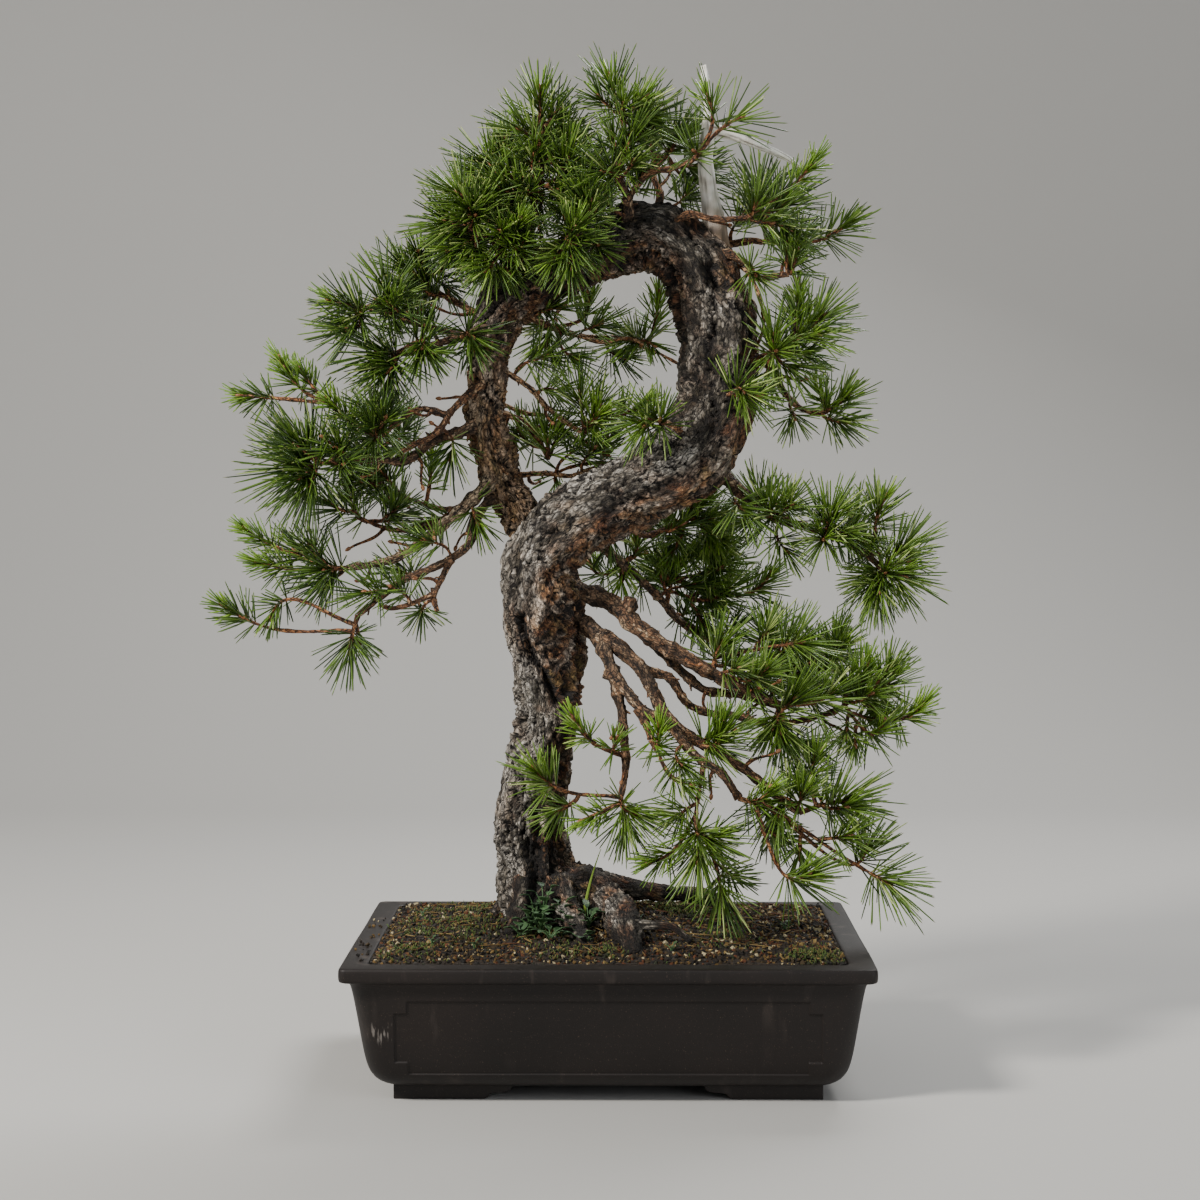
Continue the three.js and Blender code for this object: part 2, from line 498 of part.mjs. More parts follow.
// Shortest distance between two segments.
function between(p1, q1, p2, q2) {
  const d1 = q1.clone().sub(p1);
  const d2 = q2.clone().sub(p2);
  const r = p1.clone().sub(p2);
  const a = d1.dot(d1);
  const e = d2.dot(d2);
  const f = d2.dot(r);
  const c = d1.dot(r);
  const b = d1.dot(d2);
  const denominator = a * e - b * b;
  const clamp = (v) => Math.min(1, Math.max(0, v));
  let s = denominator > 1e-9 ? clamp((b * f - c * e) / denominator) : 0;
  let t = clamp((b * s + f) / e);
  s = clamp((b * t - c) / a);
  t = clamp((b * s + f) / e);
  return p1.clone().addScaledVector(d1, s).distanceTo(p2.clone().addScaledVector(d2, t));
}

// A shoot's direction from its angle in the front view and its lean to the viewer.
function pointing(angle, lean) {
  const flat = Math.sqrt(1 - lean * lean);
  const a = THREE.MathUtils.degToRad(angle);
  return new THREE.Vector3(Math.cos(a) * flat, -lean, Math.sin(a) * flat);
}

// The shoots of a spray: the first runs on from the limb, and the others leave it where they
// are nearest, a little nearer the limb. Each is bent until it keeps clear of other growth.
function routeShoots(name, obstacles) {
  const [limb, share, rows] = SPRAYS[name];
  const root = limbCurve(limb).getPointAt(share);
  const made = [];
  for (const [x, y, z, angle, lean, size, young] of rows) {
    const middle = at(x, y, z);
    const direction = pointing(angle, lean);
    const from = made.length ? forkOn(made[0].curve, middle) : root;
    const shoot = { middle, direction, size, young, from, owner: name };
    shoot.curve = bends(shoot).find((curve) => routeIsClear(curve, name, obstacles)) || bends(shoot)[0];
    made.push(shoot);
    obstacles.push(...capsules(shoot.curve, () => SHOOT_RADIUS, 8, name));
  }
  return made;
}

// Ways to the shoot's place: the plain one first, then ever wider bows to each side.
function bends({ from, middle, direction, young }) {
  const reach = middle.distanceTo(from);
  const line = middle.clone().sub(from).normalize();
  const side = line.clone().cross(direction);
  if (side.length() < 0.1) side.set(-line.z, 0.3, line.x);
  side.normalize();
  const other = line.clone().cross(side);
  const tip = middle.clone().addScaledVector(direction, SHOOT_TIP + CANDLE * young);
  const curves = [];
  for (let ring = 0; ring < 4; ring++)
    for (let k = 0; k < (ring ? 8 : 1); k++) {
      const bow = side.clone().multiplyScalar(Math.cos(k * Math.PI / 4))
        .addScaledVector(other, Math.sin(k * Math.PI / 4)).multiplyScalar(ring * (5 + reach * 0.07));
      curves.push(new THREE.CubicBezierCurve3(
        from,
        from.clone().lerp(middle, 0.35).add(bow),
        middle.clone().addScaledVector(direction, -0.35 * reach).addScaledVector(bow, 0.6),
        tip,
      ));
    }
  return curves;
}

// Clear of other sprays all the way, and of the wood from a short way out of it.
function routeIsClear(curve, name, obstacles) {
  const length = curve.getLength();
  return capsules(curve, () => SHOOT_RADIUS, 8, name).every(({ a, b }, i) => {
    const nearStart = i / 8 * length < 16;
    return obstacles.every((o) => o.owner === name || (o.owner === "wood" && nearStart)
      || tooFar(a, b, o) || between(a, b, o.a, o.b) > o.r + SHOOT_RADIUS + LEAST_CLEAR);
  });
}

function forkOn(curve, target) {
  let best = 0;
  const away = (t) => curve.getPointAt(t).distanceTo(target);
  for (let t = 0; t <= 1; t += 0.05) if (away(t) < away(best)) best = t;
  return curve.getPointAt(Math.max(0.04, Math.min(best, 0.8) * 0.75));
}

// Soil height: flush with the rim, a low mound round the trunk, and a grainy unevenness.
function soilHeight(x, y) {
  const fromSide = POT_WIDTH / 2 - RIM_INNER - Math.abs(x);
  const fromFront = POT_DEPTH / 2 - RIM_INNER - Math.abs(y);
  const edge = Math.min(1, fromSide / 30, fromFront / 30);
  const mound = 17 * Math.exp(-(((x + 20) / 150) ** 2) - ((y - 25) / 90) ** 2);
  const grain = 0.7 * Math.sin(x * 0.21 + Math.sin(y * 0.13)) * Math.sin(y * 0.24 + x * 0.05);
  return SOIL_EDGE + Math.max(0, edge) * 5 + mound * Math.max(0, Math.min(1, edge + 0.3)) + grain;
}

// A shoot is a three-sided stem whose rings turn along its leafy end, so that its faces look
// to all sides. Needles are drawn out of those faces, two opposite ones from each band.
// One that would meet other growth, the soil or the pot is turned a little, or grows shorter.
function shootSolid(shoot, obstacles) {
  const { curve, direction, size, young } = shoot;
  const length = curve.getLength();
  const leafy = 1 - Math.min(0.9, (SHOOT_TIP + CANDLE * young + LEAFY_LENGTH) / length);
  const bare = Math.max(1, Math.min(3, Math.round(leafy * length / 40)));
  const shares = [];
  for (let i = 0; i < bare; i++) shares.push(leafy * i / bare);
  for (let i = 0; i <= BANDS; i++) shares.push(leafy + (1 - leafy) * 0.8 * i / BANDS);
  const frames = frameAlong(curve, 40);
  const points = [];
  const outward = [];
  shares.forEach((t, i) => {
    const { point, normal, binormal } = frames[Math.round(t * 40)];
    const radius = SHOOT_RADIUS * (1.1 - 0.25 * t);
    const turn = Math.max(0, i - bare) * Math.PI / 3.2;
    for (let k = 0; k < 3; k++) {
      const a = turn + k * Math.PI * 2 / 3;
      outward.push(normal.clone().multiplyScalar(Math.cos(a)).addScaledVector(binormal, Math.sin(a)));
      points.push(point.clone().addScaledVector(outward[outward.length - 1], radius));
    }
  });
  const faces = [[0, 2, 1]];
  const apexes = [];
  const rings = shares.length;
  for (let i = 0; i < rings - 1; i++)
    for (let k = 0; k < 3; k++) {
      const n = (k + 1) % 3;
      const lower = [3 * i + k, 3 * i + n, 3 * i + 3 + k];
      const upper = [3 * i + n, 3 * i + 3 + n, 3 * i + 3 + k];
      const band = i - bare;
      for (const [face, wanted] of [[lower, band % 3], [upper, (band + 1) % 3]]) {
        const apex = band >= 0 && k === wanted
          ? needleTip(face, points, outward, direction, 1.42 - band / BANDS * 0.95, size, obstacles, shoot)
          : null;
        if (apex) addSpike(faces, face, points, apexes, apex);
        else faces.push(face);
      }
    }
  const last = 3 * (rings - 1);
  addSpike(faces, [last, last + 1, last + 2], points, apexes, curve.getPointAt(1));
  const all = [...points, ...apexes];
  const geometry = new THREE.BufferGeometry();
  geometry.setAttribute("position", new THREE.Float32BufferAttribute(all.flatMap((p) => p.toArray()), 3));
  geometry.setIndex(faces.flat());
  return solid(geometry);
}

function addSpike(faces, face, points, apexes, apex) {
  const top = points.length + apexes.length;
  apexes.push(apex);
  for (let i = 0; i < 3; i++) faces.push([face[i], face[(i + 1) % 3], top]);
}

function needleTip(face, points, outward, direction, tilt, size, obstacles, shoot) {
  const base = new THREE.Vector3();
  const away = new THREE.Vector3();
  for (const i of face) {
    base.addScaledVector(points[i], 1 / 3);
    away.add(outward[i]);
  }
  away.addScaledVector(direction, -away.dot(direction)).normalize();
  const aside = away.clone().cross(direction);
  for (const share of [1, 0.8, 0.6])
    for (let k = 0; k < 15; k++) {
      const swing = (k % 5 - 2) * 0.22;
      const lift = tilt + (Math.floor(k / 5) - 1) * 0.2;
      const way = direction.clone().multiplyScalar(Math.cos(lift))
        .addScaledVector(away, Math.cos(swing) * Math.sin(lift))
        .addScaledVector(aside, Math.sin(swing) * Math.sin(lift));
      const tip = base.clone().addScaledVector(way, NEEDLE_LENGTH * size * share);
      if (!needleIsClear(base, tip, shoot, obstacles)) continue;
      obstacles.push({ a: base, b: tip, r: NEEDLE_RADIUS, owner: shoot.owner, shoot });
      return tip;
    }
  return null;
}

function needleIsClear(base, tip, shoot, obstacles) {
  for (let i = 0; i <= 6; i++) {
    const p = base.clone().lerp(tip, i / 6);
    const overPot = Math.abs(p.x) < POT_WIDTH / 2 + 4 && Math.abs(p.y) < POT_DEPTH / 2 + 4;
    if (overPot && p.z < Math.max(POT_HEIGHT, soilHeight(p.x, p.y)) + 2) return false;
  }
  return obstacles.every((o) => o.shoot === shoot || (o.owner === shoot.owner && !o.shoot)
    || tooFar(base, tip, o)
    || between(base, tip, o.a, o.b) > o.r + NEEDLE_RADIUS + (o.owner === shoot.owner ? 0 : LEAST_CLEAR));
}

// Pot: a lathe's rows are squared off to round-cornered rectangles. Each profile row is
// half width, height and corner radius; the half depth is less by the same amount throughout.
const OUTER = [
  [0, FOOT_HEIGHT, 10], [204, FOOT_HEIGHT, 16], [208, 14.2, 17], [214, 16.6, 18], [220, 21, 20],
  [225, 28, 22], [228, 37, 22], [231, 52, 22], [234, 72, 21], [237, 92, 20], [240, 110, 18],
  [242, 118, 14], [248, 118.5, 8], [250, 120.5, 7], [250, 130.5, 7], [248.5, POT_HEIGHT, 6],
  [0, POT_HEIGHT, 6],
];
const INNER = [
  [0, FLOOR_TOP, 10], [192, FLOOR_TOP, 16], [206, 30, 20], [217, 44, 20], [222, 70, 18],
  [224, 110, 14], [224, POT_HEIGHT + 30, 12], [0, POT_HEIGHT + 30, 10],
];
const CORNER_STEPS = 3;

function squared(profile, inset = 0) {
  const around = 4 * (CORNER_STEPS + 1);
  const points = profile.map(([a, z]) => new THREE.Vector2(a, z));
  const geometry = new THREE.LatheGeometry(points, around);
  const position = geometry.attributes.position;
  for (let i = 0; i <= around; i++)
    profile.forEach(([a, z, corner], j) => {
      const [x, y] = a ? cornerPoint(i % around, a - inset, corner) : [0, 0];
      position.setXYZ(i * profile.length + j, x, y, z);
    });
  return solid(geometry);
}

function cornerPoint(i, a, corner) {
  const quarter = Math.floor(i / (CORNER_STEPS + 1));
  const turn = (quarter + (i % (CORNER_STEPS + 1)) / CORNER_STEPS) * Math.PI / 2;
  const b = a - (POT_WIDTH - POT_DEPTH) / 2;
  const right = quarter === 0 || quarter === 3 ? 1 : -1;
  const back = quarter < 2 ? 1 : -1;
  return [right * (a - corner) + corner * Math.cos(turn), back * (b - corner) + corner * Math.sin(turn)];
}

// The panel's outline: a long rectangle with a notch bitten out of each corner.
function panelShape(half) {
  const n = PANEL.notch;
  const shape = new THREE.Shape();
  shape.moveTo(-half + n, PANEL.low);
  shape.lineTo(half - n, PANEL.low);
  shape.lineTo(half - n, PANEL.low + n);
  shape.lineTo(half, PANEL.low + n);
  shape.lineTo(half, PANEL.high - n);
  shape.lineTo(half - n, PANEL.high - n);
  shape.lineTo(half - n, PANEL.high);
  shape.lineTo(-half + n, PANEL.high);
  shape.lineTo(-half + n, PANEL.high - n);
  shape.lineTo(-half, PANEL.high - n);
  shape.lineTo(-half, PANEL.low + n);
  shape.lineTo(-half + n, PANEL.low + n);
  return shape;
}

function panelBars() {
  const front = panelShape(PANEL.halfWidth);
  const side = panelShape(PANEL.halfDepth);
  const long = new THREE.ExtrudeGeometry(front, { depth: POT_DEPTH, bevelEnabled: false });
  long.rotateX(Math.PI / 2).translate(0, POT_DEPTH / 2, 0);
  const short = new THREE.ExtrudeGeometry(side, { depth: POT_WIDTH, bevelEnabled: false });
  short.rotateX(Math.PI / 2).rotateZ(Math.PI / 2).translate(-POT_WIDTH / 2, 0, 0);
  return [solid(long), solid(short)];
}

// Bracket feet: an L at each corner, each arm cut to a stepped cloud outline.
function footArm(length) {
  const shape = new THREE.Shape();
  shape.moveTo(0, 0);
  shape.lineTo(length - 26, 0);
  shape.lineTo(length - 21, 5.5);
  shape.lineTo(length - 6, 7);
  shape.quadraticCurveTo(length - 1, 8, length, FOOT_HEIGHT + 1);
  shape.lineTo(0, FOOT_HEIGHT + 1);
  const arm = new THREE.ExtrudeGeometry(shape, { depth: 16, bevelEnabled: false, curveSegments: 3 });
  return arm.rotateX(Math.PI / 2).translate(0, 16, 0);
}

function feet() {
  const made = [];
  for (const sx of [-1, 1])
    for (const sy of [-1, 1]) {
      const along = solid(footArm(113).translate(-203, -138, 0));
      const across = solid(footArm(80).rotateZ(Math.PI / 2).translate(-187, -138, 0));
      const foot = along.add(across);
      made.push(foot.scale([-sx, -sy, 1]));
    }
  return made;
}

function buildPot() {
  const panelGround = squared(OUTER, PANEL.depth);
  let pot = squared(OUTER).subtract(squared(INNER));
  for (const bar of panelBars()) pot = pot.subtract(bar.subtract(panelGround));
  for (const side of [-1, 1]) {
    const through = FLOOR_TOP - FOOT_HEIGHT + 8;
    const hole = new THREE.CylinderGeometry(DRAIN.radius, DRAIN.radius, through, 16);
    hole.rotateX(Math.PI / 2).translate(side * DRAIN.x, 0, (FLOOR_TOP + FOOT_HEIGHT) / 2);
    pot = pot.subtract(solid(hole));
  }
  return Manifold.union([pot, ...feet()]);
}

// Plastic mesh over each drain hole, under the soil.
function buildScreen(side) {
  const { size, thickness, bar, openings } = SCREEN;
  const pitch = (size - bar) / openings;
  const bars = [];
  for (let i = 0; i <= openings; i++) {
    const offset = -size / 2 + bar / 2 + i * pitch;
    bars.push(solid(new THREE.BoxGeometry(bar, size, thickness).translate(offset, 0, 0)));
    bars.push(solid(new THREE.BoxGeometry(size, bar, thickness).translate(0, offset, 0)));
  }
  return Manifold.union(bars).translate([side * DRAIN.x, 0, FLOOR_TOP + GAP + thickness / 2]);
}

// Soil: a block with an uneven top, trimmed to the pot and cut round the roots and screens.
function buildSoil(grownWood, grownWeeds) {
  const nx = 17;
  const ny = 12;
  const block = new THREE.BoxGeometry(POT_WIDTH, POT_DEPTH, 1, nx, ny, 1);
  const position = block.attributes.position;
  for (let i = 0; i < position.count; i++) {
    const x = position.getX(i);
    const y = position.getY(i);
    position.setZ(i, position.getZ(i) > 0 ? soilHeight(x, y) : 0);
  }
  const cavity = squared(INNER.map(([a, z, c]) => [a, z + GAP, c]), GAP);
  let soil = solid(block).intersect(cavity).subtract(grownWood);
  for (const side of [-1, 1]) {
    const room = new THREE.BoxGeometry(SCREEN.size + 2 * GAP, SCREEN.size + 2 * GAP, 8);
    room.translate(side * DRAIN.x, 0, FLOOR_TOP + SCREEN.thickness + 2 * GAP - 4);
    soil = soil.subtract(solid(room));
  }
  for (const weed of grownWeeds) soil = soil.subtract(weed);
  return soil.decompose().sort((a, b) => b.volume() - a.volume())[0];
}

// Weeds in the soil: a clump of round leaves by the trunk, a seedling and a blade of grass.
function leaf(base, direction, length, width) {
  const geometry = new THREE.SphereGeometry(1, 5, 3);
  geometry.scale(width / 2, 0.6, length / 2).translate(0, 0, length / 2 - 1.4);
  geometry.applyQuaternion(new THREE.Quaternion().setFromUnitVectors(new THREE.Vector3(0, 0, 1), direction));
  geometry.translate(base.x, base.y, base.z);
  return solid(geometry);
}

function weed(x, y, leaves, height, extra) {
  const ground = new THREE.Vector3(x, y, soilHeight(x, y));
  const top = ground.clone().add(new THREE.Vector3(0, 0, height));
  const stalk = new THREE.LineCurve3(ground.clone().add(new THREE.Vector3(0, 0, -6)), top);
  const parts = [tube(stalk, () => 0.9 + extra, 5, 2)];
  if (!extra)
    for (let i = 0; i < leaves; i++) {
      const turn = i * 2.4;
      const from = ground.clone().lerp(top, 0.5 + 0.42 * i / Math.max(1, leaves - 1));
      const way = new THREE.Vector3(Math.cos(turn), Math.sin(turn) * 0.6 - 0.5, 0.75).normalize();
      parts.push(leaf(from, way, 9, 7));
    }
  return Manifold.union(parts);
}

function grass(extra) {
  const ground = at(-25, -20, 167);
  ground.z = soilHeight(ground.x, ground.y);
  const tip = at(-8, -26, 217);
  const blade = new THREE.CubicBezierCurve3(
    ground.clone().add(new THREE.Vector3(0, 0, -5)),
    ground.clone().add(new THREE.Vector3(0, 0, 22)),
    tip.clone().add(new THREE.Vector3(-6, 0, -16)),
    tip,
  );
  return tube(blade, (t, a) => (1 - 0.8 * t) * (Math.abs(Math.cos(a)) > 0.7 ? 1.5 : 0.6) + extra, 6, 5);
}

function material(color, roughness) {
  return new THREE.MeshStandardMaterial({ color, roughness, metalness: 0 });
}

function named(name, made, look) {
  const mesh = new THREE.Mesh(geometryOf(made), look);
  mesh.name = name;
  return mesh;
}

const bark_brown = material(0x6b5c4f, 0.9);
const needle_green = material(0x47692b, 0.55);
const stoneware = material(0x3a302c, 0.6);
const soil_brown = material(0x5a4a34, 0.95);
const leaf_green = material(0x3f6b35, 0.6);
const screen_black = material(0x1c1c1c, 0.7);

const bonsai = new THREE.Group();
const tree = wood(0);
const grown = wood(GAP);
const obstacles = woodCapsules();
const shoots = Object.keys(SPRAYS).map((name) => routeShoots(name, obstacles));
const sprays = shoots.map((list) => Manifold.union(list.map((shoot) => shootSolid(shoot, obstacles))));

const weeds = { clover: [-66, -66, 4, 16], seedling: [174, -22, 2, 8] };
const grownWeeds = Object.values(weeds).map(([x, y, count, height]) => weed(x, y, count, height, GAP));
grownWeeds.push(grass(GAP));

bonsai.add(named("pot", buildPot(), stoneware));
bonsai.add(named("drain_screen_left", buildScreen(-1), screen_black));
bonsai.add(named("drain_screen_right", buildScreen(1), screen_black));
bonsai.add(named("soil", buildSoil(grown, grownWeeds), soil_brown));
bonsai.add(named("tree", tree, bark_brown));
for (const [name, [x, y, count, height]] of Object.entries(weeds))
  bonsai.add(named("weed_" + name, weed(x, y, count, height, 0), leaf_green));
bonsai.add(named("weed_grass", grass(0), leaf_green));
Object.keys(SPRAYS).forEach((name, i) => {
  const pieces = sprays[i].subtract(grown).decompose();
  bonsai.add(named("spray_" + name, pieces.sort((a, b) => b.volume() - a.volume())[0], needle_green));
});

// The origin is under the middle of the whole, on the surface that the feet stand on.
const box = new THREE.Box3().setFromObject(bonsai);
bonsai.position.set(-(box.min.x + box.max.x) / 2, -(box.min.y + box.max.y) / 2, -box.min.z);
const model = new THREE.Group();
model.add(bonsai);

export default model;
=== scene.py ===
import math

import bmesh
import bpy
import numpy as np
from bpy.props import FloatProperty, FloatVectorProperty, IntProperty, PointerProperty
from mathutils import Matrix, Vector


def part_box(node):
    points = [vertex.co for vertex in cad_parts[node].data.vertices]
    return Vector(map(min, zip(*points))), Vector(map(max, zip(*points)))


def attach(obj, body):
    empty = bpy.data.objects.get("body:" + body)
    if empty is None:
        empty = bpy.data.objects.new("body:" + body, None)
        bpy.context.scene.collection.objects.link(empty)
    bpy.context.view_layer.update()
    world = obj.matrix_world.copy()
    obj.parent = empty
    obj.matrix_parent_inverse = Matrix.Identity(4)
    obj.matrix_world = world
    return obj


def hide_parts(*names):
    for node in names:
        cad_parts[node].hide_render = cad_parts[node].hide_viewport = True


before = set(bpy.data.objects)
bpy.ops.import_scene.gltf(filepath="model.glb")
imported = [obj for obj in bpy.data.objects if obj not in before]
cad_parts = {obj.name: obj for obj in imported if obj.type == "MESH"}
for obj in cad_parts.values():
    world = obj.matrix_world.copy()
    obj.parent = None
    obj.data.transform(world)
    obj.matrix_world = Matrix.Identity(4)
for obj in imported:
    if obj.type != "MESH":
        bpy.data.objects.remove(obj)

# Pitch pine bonsai in a stoneware pot: the looks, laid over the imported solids.
bl_info = {
    "name": "Pitch Pine Bonsai",
    "version": (1, 0, 0),
    "blender": (4, 5, 0),
    "location": "View3D > Sidebar > Bonsai",
    "description": "Grows the bark, needles, soil and pot of a pitch pine bonsai over its solids",
    "category": "Add Mesh",
}

MM = 0.001
LOW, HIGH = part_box("pot")
# Sizes below are in millimetres from the middle of the pot's underside, front towards -Y.
ORIGIN = np.array([(LOW.x + HIGH.x) / 2, (LOW.y + HIGH.y) / 2, LOW.z]) / MM
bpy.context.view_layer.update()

# Pot: outer sizes over the rim, wall lines and feet.
POT_WIDTH = 500
POT_DEPTH = 370
POT_HEIGHT = 133
FOOT_HEIGHT = 13
RIM_INNER = 26
SOIL_EDGE = POT_HEIGHT - 1.5
PANEL = {"half_width": 199, "half_depth": 134, "low": 29, "high": 100, "notch": 12, "depth": 1.6}
DRAIN = {"x": 110, "radius": 15}

# Shoots: the leafy end behind the middle of a tuft and past it, and what a young one adds.
LEAFY_LENGTH = 9
SHOOT_TIP = 9
CANDLE = 20
SHOOT_RADIUS = 1.9
BANDS = 3  # rings of a solid's leafy end
NEAR_ENOUGH = 4  # mean distance up to which a curve counts as the one that a solid took

# Places are read from the front against the plane y = 0. A point at another depth moves
# along the line of sight of a viewer who stands this far off, at this height.
VIEWER = {"x": 10, "distance": 2283, "z": 559}

# Trunk: x, depth, z and radius from the soil to the end that carries the lower limbs.
TRUNK = [
    [-64, 25, 95, 42], [-64, 25, 135, 44], [-64, 25, 165, 40], [-72, 22, 195, 35], [-78, 18, 235, 32],
    [-75, 12, 270, 31.5], [-70, 8, 310, 29], [-62, 4, 350, 26], [-66, 0, 390, 25], [-75, -4, 430, 27],
    [-76, -8, 470, 28], [-70, -10, 505, 31], [-50, -12, 532, 32], [-20, -12, 553, 33],
    [20, -10, 572, 35], [60, -6, 592, 37], [90, 0, 620, 36], [104, 4, 655, 34], [108, 8, 700, 38],
    [108, 12, 740, 37], [92, 16, 785, 34], [70, 20, 812, 31], [40, 24, 824, 31], [5, 28, 815, 28],
    [-35, 32, 800, 26], [-75, 36, 782, 26], [-105, 38, 755, 25], [-118, 40, 720, 20],
    [-119, 44, 680, 18], [-121, 46, 640, 19], [-115, 50, 610, 18], [-103, 54, 580, 18],
    [-88, 56, 555, 19], [-72, 54, 525, 20], [-58, 48, 495, 21], [-48, 38, 460, 22],
    [-46, 26, 425, 21], [-45, 16, 395, 18], [-46, 8, 370, 12],
]
TRUNK_SPLIT = 26  # point at which the returning half of the trunk is a piece of its own

# Roots: x, depth, z, radius.
ROOTS = [
    [
        [-50, 28, 188, 24], [-18, 40, 184, 15], [25, 48, 176, 9], [65, 52, 172, 8], [100, 56, 168, 7],
        [132, 60, 150, 5],
    ],
    [
        [-45, 15, 178, 24], [-8, 2, 168, 18], [8, -30, 158, 17], [15, -70, 142, 15], [20, -104, 127, 11],
        [26, -128, 108, 7],
    ],
    [[-75, 8, 178, 26], [-86, -28, 152, 17], [-98, -62, 128, 8]],
    [[-58, 4, 172, 26], [-42, -38, 150, 14], [-30, -75, 132, 9], [-16, -104, 112, 5]],
    [[-78, 36, 168, 24], [-104, 74, 155, 13], [-134, 101, 140, 7]],
    [[-84, 26, 165, 22], [-114, 33, 146, 11.5], [-143, 28, 131, 6.5]],
    [[14, -80, 141, 6], [42, -92, 140, 4], [64, -90, 138, 3.4], [82, -98, 124, 2.6]],
]

# Bleached deadwood: the old leader, and its side branch.
DEADWOOD = [
    [
        [106, 18, 800, 14], [106, 21, 828, 11], [101, 24, 858, 8.5], [95, 26, 900, 6.5],
        [98, 26, 935, 6.4], [98, 26, 962, 4.4], [93, 26, 994, 3.6],
    ],
    [[98, 26, 932, 6], [122, 24, 926, 5], [150, 22, 915, 4], [176, 20, 903, 2.8], [194, 18, 890, 1.4]],
]

